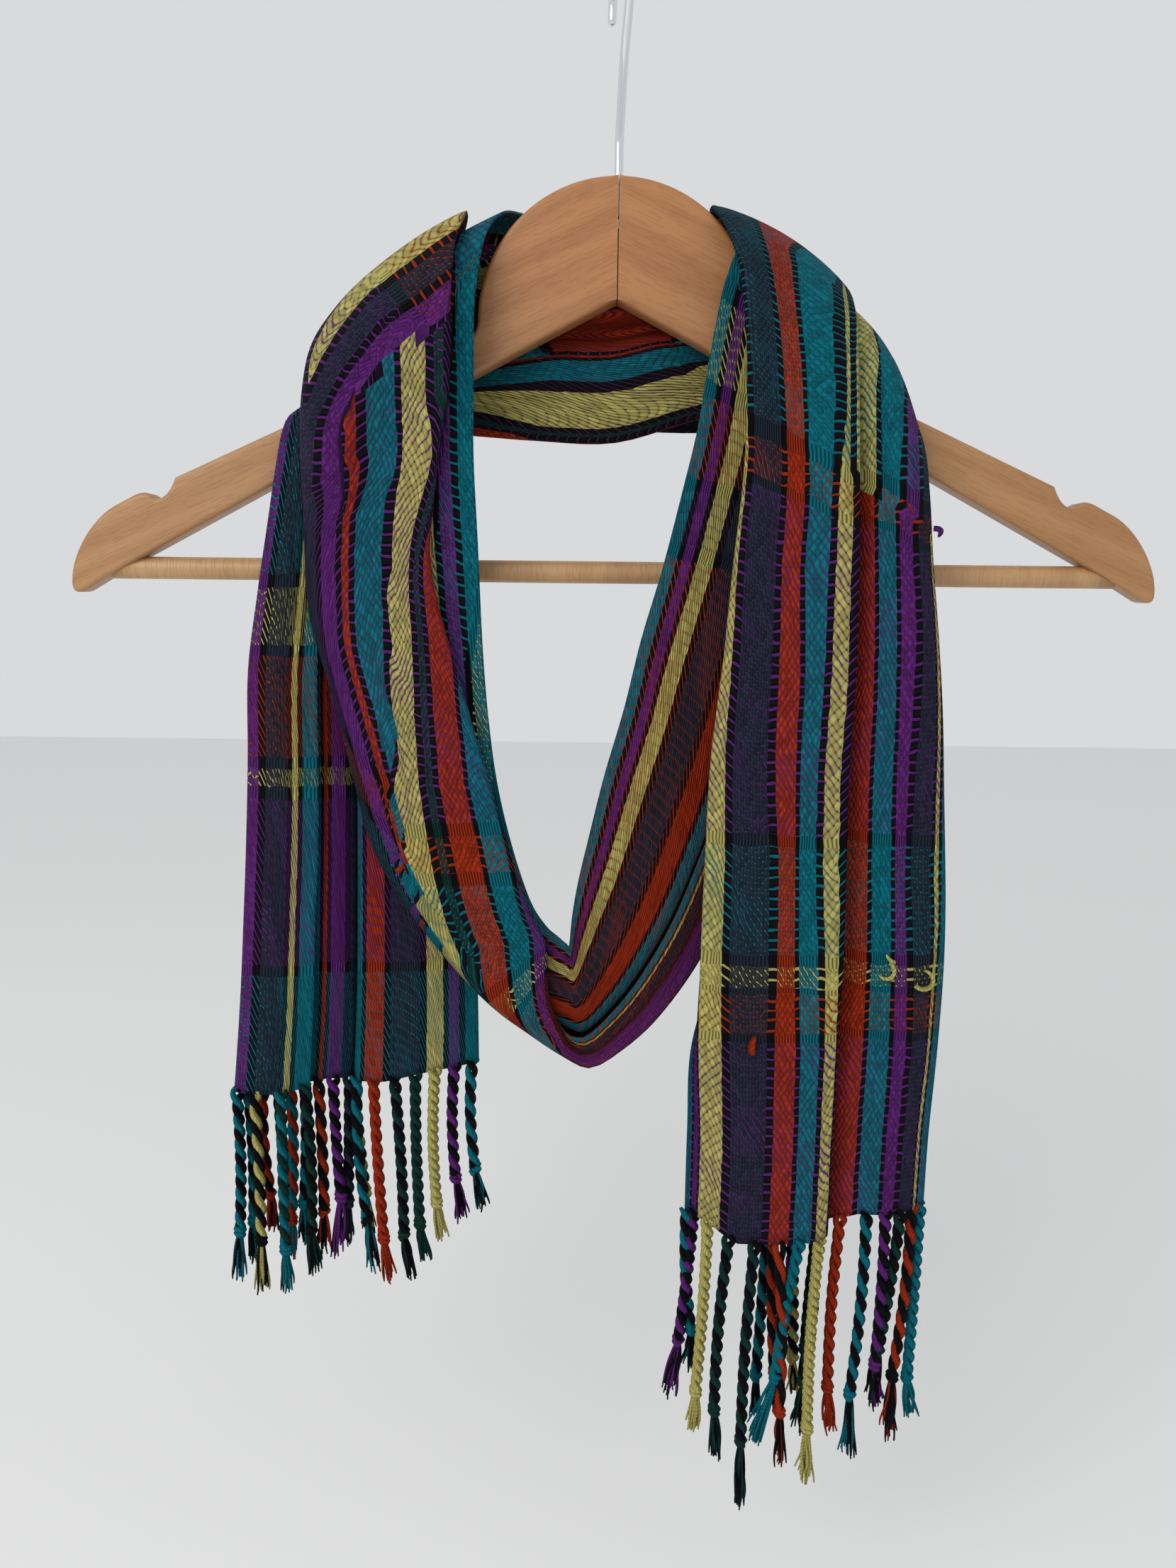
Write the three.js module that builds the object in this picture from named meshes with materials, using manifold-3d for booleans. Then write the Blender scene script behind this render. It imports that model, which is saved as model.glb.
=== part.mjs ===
// A handwoven striped scarf with twisted fringe, wound once round a flat wooden clothes hanger.
// Units are millimetres. X runs across the hanger, the viewer stands on the -Y side, +Z is up.
// The origin is the inside top of the hook, where a rail carries the hanger.
import * as THREE from 'three';
import { mergeVertices } from 'three/addons/utils/BufferGeometryUtils.js';
import Module from 'manifold-3d';

const wasm = await Module();
wasm.setup();

// ---- driving dimensions ----------------------------------------------------------------
const SEAM = 0.3;                 // gap between pieces that meet
const SEAM_STEP = 0.25;           // how far each of two cloth stretches stops short of their seam

const BOARD = 12;                 // thickness of the wooden arms
const BOARD_ROUND = 1.4;          // rounded edge of the boards
const HEAD_CENTRE = -140.4;       // centre of the round head
const HEAD_RADIUS = 55;
const HEAD_UNDER = -131;          // underside of the head on the centre line
const ARM_ROOT_X = 57;            // where the round head runs into the arm
const ARM_ROOT_TOP = -146.5;
const ARM_SLOPE = 0.45;           // fall of the arm's top edge per mm outwards
const UNDER_SLOPE = 0.512;        // fall of the underside per mm outwards
const ARM_END_X = 201;            // where the top edge turns down to the tip
const TIP_X = 220.5;
const TIP_HEIGHT = -246.5;
const NOTCH_X = 183;              // strap notch, distance from the centre line
const NOTCH_RADIUS = 6.5;

const BAR_RADIUS = 4.5;           // round bar between the arms
const BAR_HEIGHT = -236;
const BAR_HALF_LENGTH = 205;

const WIRE_RADIUS = 1.75;         // hook wire
const HOOK_RADIUS = 21.75;        // middle line of the hook's round part
const HOOK_TURN = 82;             // degrees between the hook's plane and the hanger's
const HOOK_SOCKET = 14;           // depth of the shank in the wood

const CLOTH = 1.5;                // wall of the cloth
const STRIP_DROP = 3;             // height of the strip that the fringe grows from
const CORD_RADIUS = 1.9;          // one twisted fringe cord

const FINISH = {
  cloth: { color: 0x17737a, roughness: 0.85, metalness: 0 },
  fringe: { color: 0x2a4a50, roughness: 0.9, metalness: 0 },
  wood: { color: 0xc8935c, roughness: 0.45, metalness: 0 },
  chrome: { color: 0xc9ccd0, roughness: 0.2, metalness: 1 },
};

// ---- folded cross-sections of the cloth ------------------------------------------------
// A section runs over the cloth's width u, from the neck-side selvage (0) to the outer one.
// Each lip lies at `a`, the share of the way from the inner to the outer rail, and stands
// `d` mm out from the rails' line, away from the hanger.
const WIDTH = 176;
const lip = (u, a, d) => ({ u, a, d });
const mix = (from, to, share) => from + (to - from) * share;

// Tail on the right: the neck-side margin is turned under and a deep pleat lies in the middle.
function rightTailLips({ tuck, pleat }) {
  return [
    lip(0, tuck, -6),
    lip(9, tuck * 0.45, -5.5),
    lip(14.5, -0.005, -3),
    lip(19, 0.03, 0.5),
    lip(42, 0.29, 2.5),
    lip(64, 0.53, 2),
    lip(69, 0.555, -1.5),
    lip(82, 0.52 - pleat * 0.4, -4.6),
    lip(96, 0.5 - pleat, -7),
    lip(101, 0.51 - pleat, -10.4),
    lip(123, 0.56, -9),
    lip(137, 0.68, -2),
    lip(156, 0.86, 1.5),
    lip(WIDTH, 1, -3),
  ];
}

// Tail on the left: the outer margin is turned over to the front, beside a narrow valley.
function leftTailLips({ valley, margin }) {
  return [
    lip(0, 0, -1),
    lip(10, 0.09, 0.5),
    lip(27, 0.24, 1.5),
    lip(51, 0.47, 1.5),
    lip(57, 0.51, -1.5),
    lip(66, 0.525, -2 - valley),
    lip(76, 0.55, -1.5),
    lip(84, 0.62, 1),
    lip(96, 0.7, -1.5),
    lip(128, 0.88, -4),
    lip(147, 1, -1.5),
    lip(152, 0.995, 2.2),
    lip(163, 0.86, 5.5),
    lip(WIDTH, 1 - margin, 4.5),
  ];
}

// Loop: the cloth is doubled lengthwise. Its inner layer lies on the rails' line. `flap` is where
// the outer layer's inner fold lies, and 1 where that layer has run out. `roll` lifts the outer
// layer over the shoulder, `dip` is the valley beside that roll, and `pleat` gathers the inner
// layer.
function loopLips({ flap, roll, dip, pleat }) {
  const open = Math.min(1, (1 - flap) * 1.15);
  const reach = 1 - flap;
  return [
    lip(0, 0, 0),
    lip(20, 0.22, 1 + pleat),
    lip(42, mix(0.48, 0.46, open), 1 + pleat),
    lip(58, mix(0.7, 0.72, open), -pleat),
    lip(72, 0.8 - 0.12 * pleat, -4.5 * pleat),
    lip(94, 0.88 - 0.5 * pleat, -7 * pleat),
    lip(100, 0.94 - 0.55 * pleat, -10.5 * pleat),
    lip(130, 0.99 - 0.1 * pleat, 1.5 - 12 * pleat),
    lip(142, 1, 4 - 9 * pleat),
    lip(148, mix(1, 0.9, open), mix(0.5, 9 + 5 * roll, open)),
    lip(151, mix(0.97, 0.72, open), mix(3.4, 10.5 + 5 * roll, open)),
    lip(153, mix(0.93, flap + reach * 0.42, open), mix(4.4, 10 + 3 * roll - dip, open)),
    lip(155, mix(0.87, flap + 0.01, open), mix(5, 8.2, open)),
    lip(WIDTH, mix(0.72, flap + reach * 0.28, open), mix(5.6, 4.6, open)),
  ];
}

// Band behind the neck: gathered in the middle and turned up along the bottom edge.
function neckLips({ gather }) {
  return [
    lip(0, 0.01, 2.5),
    lip(12, 0.02, 1.2),
    lip(27, 0.12, 0.4),
    lip(48, 0.25, 0),
    lip(60, 0.34, 2.5 * gather),
    lip(72, 0.38, 5.5 * gather),
    lip(80, 0.44, 3 * gather),
    lip(90, 0.5, 0.2),
    lip(104, 0.66, 0),
    lip(116, 0.85, 0.3),
    lip(126, 0.98, 1.6),
    lip(130, 0.995, 4.5),
    lip(145, 0.85, 8.5),
    lip(WIDTH, 0.5, 9.5),
  ];
}

// The folds of one section part of the way to those of another.
function between(from, to, share) {
  return from.map((one, i) => lip(
    mix(one.u, to[i].u, share), mix(one.a, to[i].a, share), mix(one.d, to[i].d, share),
  ));
}

// ---- rows of each stretch --------------------------------------------------------------
// A row is one section: its inner rail (xi, zi) and outer rail (xo, zo), their depths yi and yo,
// the tilt of its outward side (0 faces the viewer, 90 faces up, 180 faces the back), `flat`,
// which presses the folds together, and `swell`, which bows the section outwards.
const row = (xi, zi, xo, zo, yi, yo, tilt, flat, swell, lips) =>
  ({ xi, zi, xo, zo, yi, yo, tilt, flat, swell, lips });

const rightTail = (tuck, pleat) => rightTailLips({ tuck, pleat });
const leftTail = (valley, margin) => leftTailLips({ valley, margin });
const loop = (flap, roll, dip, pleat) => loopLips({ flap, roll, dip, pleat });
const neck = (gather) => neckLips({ gather });

// rows shared by two stretches: four on the shoulders, one at the bottom of the loop
const RIGHT_OVER = row(38, -95, 114, -166, 0, 0, 90, 0.45, 12, rightTail(0.12, 0.12));
const LEFT_OVER = row(-45, -98, -118, -162.5, 0, 0, 90, 0.75, 7, loop(0.1, 0.7, 0, 0));
const LOOP_BOTTOM = row(-16.5, -387, -8, -440, -25, -24, 0, 0.9, 0, loop(1, 0, 0, 1));
const RIGHT_UNDER = row(49, -107.5, 101, -158.5, 0, 0, 90, 0.4, 4, loop(1, 0, 0, 0.6));
const LEFT_UNDER = row(-61, -145, -126, -173.8, 0, 0, 90, 0.3, 0, leftTail(0, 0.3));

//   xi    zi    xo    zo    yi   yo  tilt flat swell folds
const TAIL_RIGHT = [
  row(38.5, -496, 132, -495, -40, -38, 0, 1, 1, rightTail(-0.06, 0.2)),
  row(38.7, -463, 132.3, -463, -40, -38, 0, 1, 1, rightTail(-0.06, 0.2)),
  row(37, -425, 133.8, -425, -40, -38, 0, 1, 1.5, rightTail(-0.03, 0.22)),
  row(37.5, -385, 134.2, -388, -40, -38, 0, 1, 2, rightTail(0.08, 0.22)),
  row(38.4, -345, 132.3, -350, -40, -38, 0, 1, 2, rightTail(0.14, 0.24)),
  row(40, -305, 130, -318, -40, -38, 0, 1, 2, rightTail(0.16, 0.24)),
  row(44, -265, 128, -288, -41, -37, 0, 1, 2.5, rightTail(0.16, 0.24)),
  row(47, -228, 125, -259, -41, -36, 0, 1, 3, rightTail(0.16, 0.24)),
  row(49, -192, 122, -232, -41, -34, 0, 1, 3, rightTail(0.16, 0.22)),
  row(48.4, -154, 120, -206, -40, -31, 2, 0.95, 4, rightTail(0.14, 0.2)),
  row(46, -125, 119, -187, -32, -24, 18, 0.85, 7, rightTail(0.12, 0.16)),
  row(42, -106, 117, -174, -18, -13, 46, 0.65, 11, rightTail(0.12, 0.14)),
  RIGHT_OVER,
];

const NECK_OUTER = [
  RIGHT_OVER,
  row(34, -94, 111, -172, 17, 15, 135, 0.4, 8, between(RIGHT_OVER.lips, neck(1), 0.3)),
  row(23, -95, 86, -177, 24, 22, 175, 0.6, 2, between(RIGHT_OVER.lips, neck(1), 0.7)),
  row(9, -97, 42, -176, 21, 21, 180, 0.8, 0, neck(1)),
  row(-4, -97, 0, -176, 20, 20, 180, 0.8, 0, neck(1)),
  row(-17, -96, -42, -176, 21, 21, 180, 0.8, 0, neck(1)),
  row(-27, -94, -85, -177, 23, 22, 175, 0.65, 2, between(neck(1), LEFT_OVER.lips, 0.3)),
  row(-37, -94, -112, -172, 15, 14, 135, 0.6, 7, between(neck(1), LEFT_OVER.lips, 0.7)),
  LEFT_OVER,
];

const LOOP_LEFT = [
  LEFT_OVER,
  row(-50.5, -110, -120, -177, -15, -16.5, 42, 0.8, 6, loop(0.1, 0.8, 1, 0)),
  row(-54, -134, -120, -193, -23, -22.5, 15, 0.85, 4, loop(0.1, 0.8, 3, 0)),
  row(-54.3, -162, -119.5, -210, -26, -24, 0, 0.9, 2, loop(0.12, 0.6, 4, 0)),
  row(-54.5, -192, -119.5, -227, -27, -25, 0, 0.9, 1, loop(0.16, 0.3, 2, 0)),
  row(-53, -226, -119.5, -246, -27, -25, 0, 0.9, 1, loop(0.2, 0, 0.5, 0)),
  row(-51.5, -262, -115.5, -268, -27, -25, 0, 0.9, 1, loop(0.16, 0, 0, 0)),
  row(-49.5, -290, -109, -293, -27, -25, 0, 0.9, 1, loop(0.1, 0, 0, 0)),
  row(-46, -318, -103, -320, -27, -25, 0, 0.9, 1, loop(0.03, 0, 0, 0)),
  row(-40, -345, -95, -347, -26, -25, 0, 0.9, 1, loop(0.01, 0, 0, 0)),
  row(-32.5, -368, -84, -368, -26, -25, 0, 0.9, 0.5, loop(0.01, 0, 0, 0.1)),
  row(-26, -379, -68, -391, -25, -25, 0, 0.9, 0, loop(0.04, 0, 0, 0.3)),
  row(-21, -383.5, -49, -413, -25, -25, 0, 0.9, 0, loop(0.14, 0, 0, 0.6)),
  row(-18.8, -385.5, -31, -427, -25, -25, 0, 0.9, 0, loop(0.36, 0, 0, 0.85)),
  row(-17.5, -386.5, -18, -436, -25, -24, 0, 0.9, 0, loop(0.66, 0, 0, 0.95)),
  LOOP_BOTTOM,
];

const LOOP_RIGHT = [
  LOOP_BOTTOM,
  row(-15.5, -376, 5, -433, -24, -23, 0, 0.9, 0, loop(1, 0, 0, 1)),
  row(-13, -360, 20, -419, -24, -22, 0, 0.9, 0, loop(1, 0, 0, 1)),
  row(-8.5, -340, 37, -394, -23, -21, 0, 0.85, 0, loop(1, 0, 0, 1)),
  row(-3, -317, 51, -362, -22, -21, 0, 0.8, 1, loop(1, 0, 0, 1)),
  row(4.5, -290, 64, -325, -22, -20, 0, 0.8, 1, loop(1, 0, 0, 1)),
  row(11, -262, 76, -287, -22, -20, 0, 0.8, 1, loop(1, 0, 0, 1)),
  row(19, -234, 86, -250, -21, -20, 0, 0.8, 1, loop(1, 0, 0, 1)),
  row(26, -205, 94, -220, -21, -20, 0, 0.75, 1, loop(1, 0, 0, 1)),
  row(31.6, -180, 99, -200, -20, -19, 0, 0.7, 1, loop(1, 0, 0, 0.95)),
  row(35.5, -154, 102, -184, -18, -17, 5, 0.65, 2, loop(1, 0, 0, 0.9)),
  row(40, -130, 103, -173, -15, -14, 15, 0.6, 3, loop(1, 0, 0, 0.8)),
  row(44.5, -116, 102, -165, -11, -10.5, 42, 0.5, 4, loop(1, 0, 0, 0.7)),
  RIGHT_UNDER,
];

const NECK_INNER = [
  RIGHT_UNDER,
  row(46, -112, 99, -163.5, 10, 10, 140, 0.35, 2, between(RIGHT_UNDER.lips, neck(1), 0.3)),
  row(31, -113, 73, -168, 9.5, 9.5, 178, 0.5, 0, between(RIGHT_UNDER.lips, neck(1), 0.75)),
  row(9, -112, 34, -173, 7.6, 7.6, 180, 0.7, 0, neck(1)),
  row(-4, -111, 0, -182.5, 7.6, 7.6, 180, 0.7, 0, neck(1)),
  row(-17, -112, -32, -182, 7.6, 7.6, 180, 0.7, 0, neck(1)),
  row(-32, -119, -64, -180, 7.8, 7.8, 178, 0.6, 0, between(neck(1), LEFT_UNDER.lips, 0.3)),
  row(-47, -131, -96, -179, 9, 9, 170, 0.55, 0, between(neck(1), LEFT_UNDER.lips, 0.6)),
  row(-58, -141, -120, -175.5, 9.5, 9.5, 140, 0.4, 0, between(neck(1), LEFT_UNDER.lips, 0.85)),
  LEFT_UNDER,
];

const TAIL_LEFT = [
  LEFT_UNDER,
  row(-61.5, -150, -129, -179, -9.6, -9.6, 40, 0.4, 0, leftTail(1, 0.3)),
  row(-61, -171, -132, -194, -12.6, -12.6, 4, 0.7, 0, leftTail(2, 0.3)),
  row(-61, -206, -136, -217, -14, -13, 0, 1, 0.5, leftTail(3, 0.32)),
  row(-60, -241, -141, -245, -14, -13, 0, 1, 0.5, leftTail(3, 0.32)),
  row(-59, -276, -146, -277, -14, -13, 0, 1, 1, leftTail(3, 0.32)),
  row(-58, -311, -147.4, -312, -14, -13, 0, 1, 1, leftTail(3.5, 0.32)),
  row(-57, -346, -149.3, -347, -14, -13, 0, 1, 1, leftTail(3.5, 0.32)),
  row(-56, -380, -151.7, -382, -14, -13, 0, 1, 1, leftTail(3.5, 0.31)),
  row(-55.3, -413, -154.5, -418, -14, -13, 0, 1, 1, leftTail(3.5, 0.31)),
  row(-55, -443, -158.4, -455, -14, -13, 0, 1, 1, leftTail(3.5, 0.31)),
];

// The chain follows the cloth from the hem of one tail to the hem of the other. `halves` are the
// rows near the shoulder that get one more section before the next row.
const STRETCHES = [
  { name: 'tail_right', rows: TAIL_RIGHT, halves: [10, 11] },
  { name: 'neck_outer', rows: NECK_OUTER, halves: [0, 1, 6, 7] },
  { name: 'loop_left', rows: LOOP_LEFT, halves: [0, 1] },
  { name: 'loop_right', rows: LOOP_RIGHT, halves: [12] },
  { name: 'neck_inner', rows: NECK_INNER, halves: [0, 1, 8] },
  { name: 'tail_left', rows: TAIL_LEFT, halves: [0, 1] },
];

// Uneven hems: how far the cloth hangs below the rails' line, by its share a across the tail.
const HEM_RIGHT = [
  { a: 0.02, drop: 3 }, { a: 0.1, drop: 9 }, { a: 0.16, drop: 13 }, { a: 0.36, drop: 13 },
  { a: 0.46, drop: 12 }, { a: 0.52, drop: 14 }, { a: 0.6, drop: 7 }, { a: 0.7, drop: 2 },
  { a: 0.9, drop: 0.5 }, { a: 1, drop: 0 },
];
const HEM_LEFT = [
  { a: 0.05, drop: 0 }, { a: 0.2, drop: 1 }, { a: 0.4, drop: 3.5 }, { a: 0.55, drop: 1 },
  { a: 0.62, drop: -0.5 }, { a: 0.7, drop: 1.5 }, { a: 0.85, drop: 3 }, { a: 1, drop: 2 },
];

// ---- fringe ----------------------------------------------------------------------------
// One cord: its place u over the cloth's width, the length of its twisted part down to the knot,
// the length of the tassel below, and how far the knot and the tip swing across (X) and out (Y).
const cord = (u, twist, tassel, knotX, tipX, knotY = 0) => ({ u, twist, tassel, knotX, tipX, knotY });
const FRINGE_RIGHT = [
  cord(3, 56, 18, 3, 3, 0),
  cord(10.5, 60, 26, -5, -9, 0),
  cord(19.5, 79, 18, -3, -4, 0),
  cord(28, 80, 24, -4, -3, 0),
  cord(38, 92, 31, -3, -3, 0),
  cord(47.5, 78, 24, 3, 4, 0),
  cord(56, 63, 30, -8, -16, 0),
  cord(64, 85, 26, -2, -2, -2),
  cord(73, 68, 24, -2, -3, 0),
  cord(83, 58, 22, -4, -3, 0),
  cord(92, 66, 18, 3, 4, 0),
  cord(102, 72, 20, -2, -2, 2),
  cord(112, 64, 18, 3, 4, 2),
  cord(122, 60, 20, -3, -2, 1),
  cord(132, 80, 20, -2, -1, 0),
  cord(143.5, 84, 28, -3, -3, 0),
  cord(152, 70, 20, -1, 1, 0),
  cord(160, 64, 24, -6, -8, 0),
  cord(167.5, 78, 30, -4, -4, 0),
  cord(174, 80, 18, -1, 1, 0),
];
const FRINGE_LEFT = [
  cord(3, 50, 18, 1, 4, 0),
  cord(11, 52, 20, 0, 2, 0),
  cord(20, 62, 17, 0, 2, 0),
  cord(29, 70, 17, 1, 3, 0),
  cord(38, 73, 20, 3, 6, 0),
  cord(47, 74, 19, 3, 5, 0),
  cord(55, 66, 24, 3, 5, 0),
  cord(64, 58, 18, 3, 4, 2),
  cord(73, 60, 20, -2, -3, 1),
  cord(82, 56, 28, 2, 0, 0),
  cord(91, 62, 18, 1, 1, 0),
  cord(101, 58, 20, -2, -2, 1),
  cord(112, 66, 18, -2, -3, 2),
  cord(122, 60, 18, 2, 2, 1),
  cord(132, 52, 18, 1, 1, 1),
  cord(142, 64, 20, 0, 0, 1),
  cord(151, 66, 22, -1, -2, 0),
  cord(158, 68, 24, 1, 1, -1),
  cord(167, 73, 19, 0, 0, -1),
  cord(174.5, 67, 19, 1, 2, 0),
];

// ---- curves ----------------------------------------------------------------------------
// A value of the smooth curve through four neighbours, a share of the way from b to c.
function smooth(a, b, c, d, share) {
  const t = share;
  return 0.5 * (2 * b + (c - a) * t + (2 * a - 5 * b + 4 * c - d) * t * t
    + (3 * b - a - 3 * c + d) * t * t * t);
}

function smoothPoint(points, place) {
  const last = points.length - 1;
  const i = Math.min(Math.floor(place), last - 1);
  const four = [i - 1, i, i + 1, i + 2].map((k) => points[Math.max(0, Math.min(last, k))]);
  const value = (key) => smooth(...four.map((p) => p[key]), place - i);
  return { u: value('u'), a: value('a'), d: value('d') };
}

// A section's line as points in space: every lip, and a point halfway to the next lip unless the
// cloth is plain there.
const PLAIN_SPANS = [0, 3, 4, 7, 9];
const PLACES = Array.from({ length: 27 }, (_, i) => i / 2)
  .filter((place) => Number.isInteger(place) || !PLAIN_SPANS.includes(Math.floor(place)));

function sectionLine(r) {
  const inner = new THREE.Vector3(r.xi, r.yi, r.zi);
  const across = new THREE.Vector3(r.xo, r.yo, r.zo).sub(inner);
  const turn = THREE.MathUtils.degToRad(r.tilt);
  const out = new THREE.Vector3(0, -Math.cos(turn), Math.sin(turn));
  const along = across.clone().normalize();
  out.addScaledVector(along, -out.dot(along)).normalize();
  return PLACES.map((place) => {
    const p = smoothPoint(r.lips, place);
    const share = THREE.MathUtils.clamp(p.a, 0, 1);
    const stand = p.d * r.flat + r.swell * 4 * share * (1 - share);
    return inner.clone().addScaledVector(across, p.a).addScaledVector(out, stand);
  });
}

function hemDrop(table, a) {
  const next = table.findIndex((step) => step.a >= a);
  if (next === 0) return table[0].drop;
  if (next < 0) return table[table.length - 1].drop;
  const before = table[next - 1];
  const after = table[next];
  return mix(before.drop, after.drop, (a - before.a) / (after.a - before.a));
}

function dropHem(line, r, table) {
  for (const point of line) {
    point.z -= hemDrop(table, (point.x - r.xi) / (r.xo - r.xi));
  }
}

// The smooth surface through all rows: each pair of rows may get one row halfway.
function rowsBetween(lines, i) {
  const spans = [lines[i - 1], lines[i], lines[i + 1], lines[i + 2]];
  const step = (k) => (spans[k] && spans[k + 1]
    ? spans[k].reduce((sum, p, c) => sum + p.distanceTo(spans[k + 1][c]), 0) / spans[k].length
    : 0);
  const middle = step(1);
  return spans[1].map((p, c) => {
    const q = spans[2][c];
    const slopeIn = spans[0]
      ? q.clone().sub(spans[0][c]).multiplyScalar(middle / (step(0) + middle)) : q.clone().sub(p);
    const slopeOut = spans[3]
      ? spans[3][c].clone().sub(p).multiplyScalar(middle / (step(2) + middle)) : q.clone().sub(p);
    return p.clone().add(q).multiplyScalar(0.5).addScaledVector(slopeIn.sub(slopeOut), 0.125);
  });
}

// ---- meshes ----------------------------------------------------------------------------
function bodyFrom(vertices, triangles) {
  const geometry = new THREE.BufferGeometry();
  geometry.setAttribute('position', new THREE.Float32BufferAttribute(vertices, 3));
  geometry.setIndex(triangles);
  return geometry;
}

function signedVolume(geometry) {
  const p = geometry.attributes.position;
  const index = geometry.index.array;
  const [a, b, c] = [new THREE.Vector3(), new THREE.Vector3(), new THREE.Vector3()];
  let volume = 0;
  for (let i = 0; i < index.length; i += 3) {
    a.fromBufferAttribute(p, index[i]);
    b.fromBufferAttribute(p, index[i + 1]);
    c.fromBufferAttribute(p, index[i + 2]);
    volume += a.dot(b.cross(c)) / 6;
  }
  return volume;
}

function facedOut(geometry) {
  if (signedVolume(geometry) > 0) return geometry;
  const index = geometry.index.array;
  for (let i = 0; i < index.length; i += 3) {
    [index[i + 1], index[i + 2]] = [index[i + 2], index[i + 1]];
  }
  return geometry;
}

// A closed wall of the cloth's thickness on a grid of points with their normals.
function wall(grid, normals, thickness) {
  const rows = grid.length;
  const columns = grid[0].length;
  const vertices = [];
  for (const side of [0.5, -0.5]) {
    grid.forEach((line, r) => line.forEach((point, c) => {
      const p = point.clone().addScaledVector(normals[r][c], side * thickness);
      vertices.push(p.x, p.y, p.z);
    }));
  }
  const at = (side, r, c) => side * rows * columns + r * columns + c;
  const triangles = [];
  const quad = (a, b, c, d) => triangles.push(a, b, c, a, c, d);
  for (let r = 0; r < rows - 1; r += 1) {
    for (let c = 0; c < columns - 1; c += 1) {
      quad(at(0, r, c), at(0, r, c + 1), at(0, r + 1, c + 1), at(0, r + 1, c));
      quad(at(1, r, c), at(1, r + 1, c), at(1, r + 1, c + 1), at(1, r, c + 1));
    }
    quad(at(0, r, 0), at(0, r + 1, 0), at(1, r + 1, 0), at(1, r, 0));
    const e = columns - 1;
    quad(at(0, r, e), at(1, r, e), at(1, r + 1, e), at(0, r + 1, e));
  }
  for (let c = 0; c < columns - 1; c += 1) {
    const e = rows - 1;
    quad(at(0, 0, c), at(1, 0, c), at(1, 0, c + 1), at(0, 0, c + 1));
    quad(at(0, e, c), at(0, e, c + 1), at(1, e, c + 1), at(1, e, c));
  }
  return facedOut(bodyFrom(vertices, triangles));
}

function gridNormals(grid) {
  const last = grid.length - 1;
  return grid.map((line, r) => line.map((_, c) => {
    const down = grid[Math.min(last, r + 1)][c].clone().sub(grid[Math.max(0, r - 1)][c]);
    const side = line[Math.min(line.length - 1, c + 1)].clone().sub(line[Math.max(0, c - 1)]);
    return down.cross(side).normalize().negate();
  }));
}

// Manifold takes and gives plain arrays of shared vertices.
function solidOf(geometry) {
  const bare = geometry.clone();
  bare.deleteAttribute('normal');
  bare.deleteAttribute('uv');
  const merged = facedOut(mergeVertices(bare, 1e-4));
  return new wasm.Manifold(new wasm.Mesh({
    numProp: 3,
    vertProperties: new Float32Array(merged.attributes.position.array),
    triVerts: new Uint32Array(merged.index.array),
  }));
}

function geometryOf(solid) {
  const mesh = solid.getMesh();
  return bodyFrom(Array.from(mesh.vertProperties), Array.from(mesh.triVerts));
}

function named(name, slot, geometry) {
  const mesh = new THREE.Mesh(geometry, new THREE.MeshStandardMaterial(FINISH[slot]));
  mesh.name = name;
  return mesh;
}

// ---- the cloth -------------------------------------------------------------------------
// All stretches are cut from one continuous surface, so their walls meet edge to edge.
function clothSurface() {
  const rows = [];
  const cuts = [];
  for (const stretch of STRETCHES) {
    const start = rows.length ? rows.length - 1 : 0;
    rows.push(...(rows.length ? stretch.rows.slice(1) : stretch.rows));
    cuts.push({ name: stretch.name, start, end: rows.length - 1, halves: stretch.halves });
  }
  const lines = rows.map(sectionLine);
  dropHem(lines[0], rows[0], HEM_RIGHT);
  dropHem(lines[lines.length - 1], rows[rows.length - 1], HEM_LEFT);
  const grid = [];
  const place = [];
  cuts.forEach((cut) => {
    for (let i = cut.start; i < cut.end; i += 1) {
      place[i] = grid.length;
      grid.push(lines[i]);
      if (cut.halves.includes(i - cut.start)) grid.push(rowsBetween(lines, i));
    }
  });
  place[lines.length - 1] = grid.length;
  grid.push(lines[lines.length - 1]);
  const spans = cuts.map((cut) => ({ name: cut.name, start: place[cut.start], end: place[cut.end] }));
  return { grid, normals: gridNormals(grid), spans };
}

// A line moved a little towards the next one, which leaves half of the seam's gap.
function stepTowards(line, next, distance) {
  return line.map((p, c) => p.clone().addScaledVector(next[c].clone().sub(p).normalize(), distance));
}

function stretchGeometry(surface, span) {
  const grid = surface.grid.slice(span.start, span.end + 1);
  const normals = surface.normals.slice(span.start, span.end + 1);
  const last = grid.length - 1;
  if (span.start > 0) grid[0] = stepTowards(grid[0], grid[1], SEAM_STEP);
  if (span.end < surface.grid.length - 1) {
    grid[last] = stepTowards(grid[last], grid[last - 1], SEAM_STEP);
  }
  return wall(grid, normals, CLOTH);
}

// ---- fringe geometry -------------------------------------------------------------------
// A four-sided tube through rings of given centre and radius.
function squareTube(rings) {
  const vertices = [];
  const triangles = [];
  rings.forEach(({ x, y, z, radius }) => {
    vertices.push(x - radius, y, z, x, y - radius, z, x + radius, y, z, x, y + radius, z);
  });
  for (let r = 0; r < rings.length - 1; r += 1) {
    for (let s = 0; s < 4; s += 1) {
      const a = r * 4 + s;
      const b = r * 4 + ((s + 1) % 4);
      triangles.push(a, b, b + 4, a, b + 4, a + 4);
    }
  }
  const e = (rings.length - 1) * 4;
  triangles.push(0, 2, 1, 0, 3, 2, e, e + 1, e + 2, e, e + 2, e + 3);
  return facedOut(bodyFrom(vertices, triangles));
}

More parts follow.
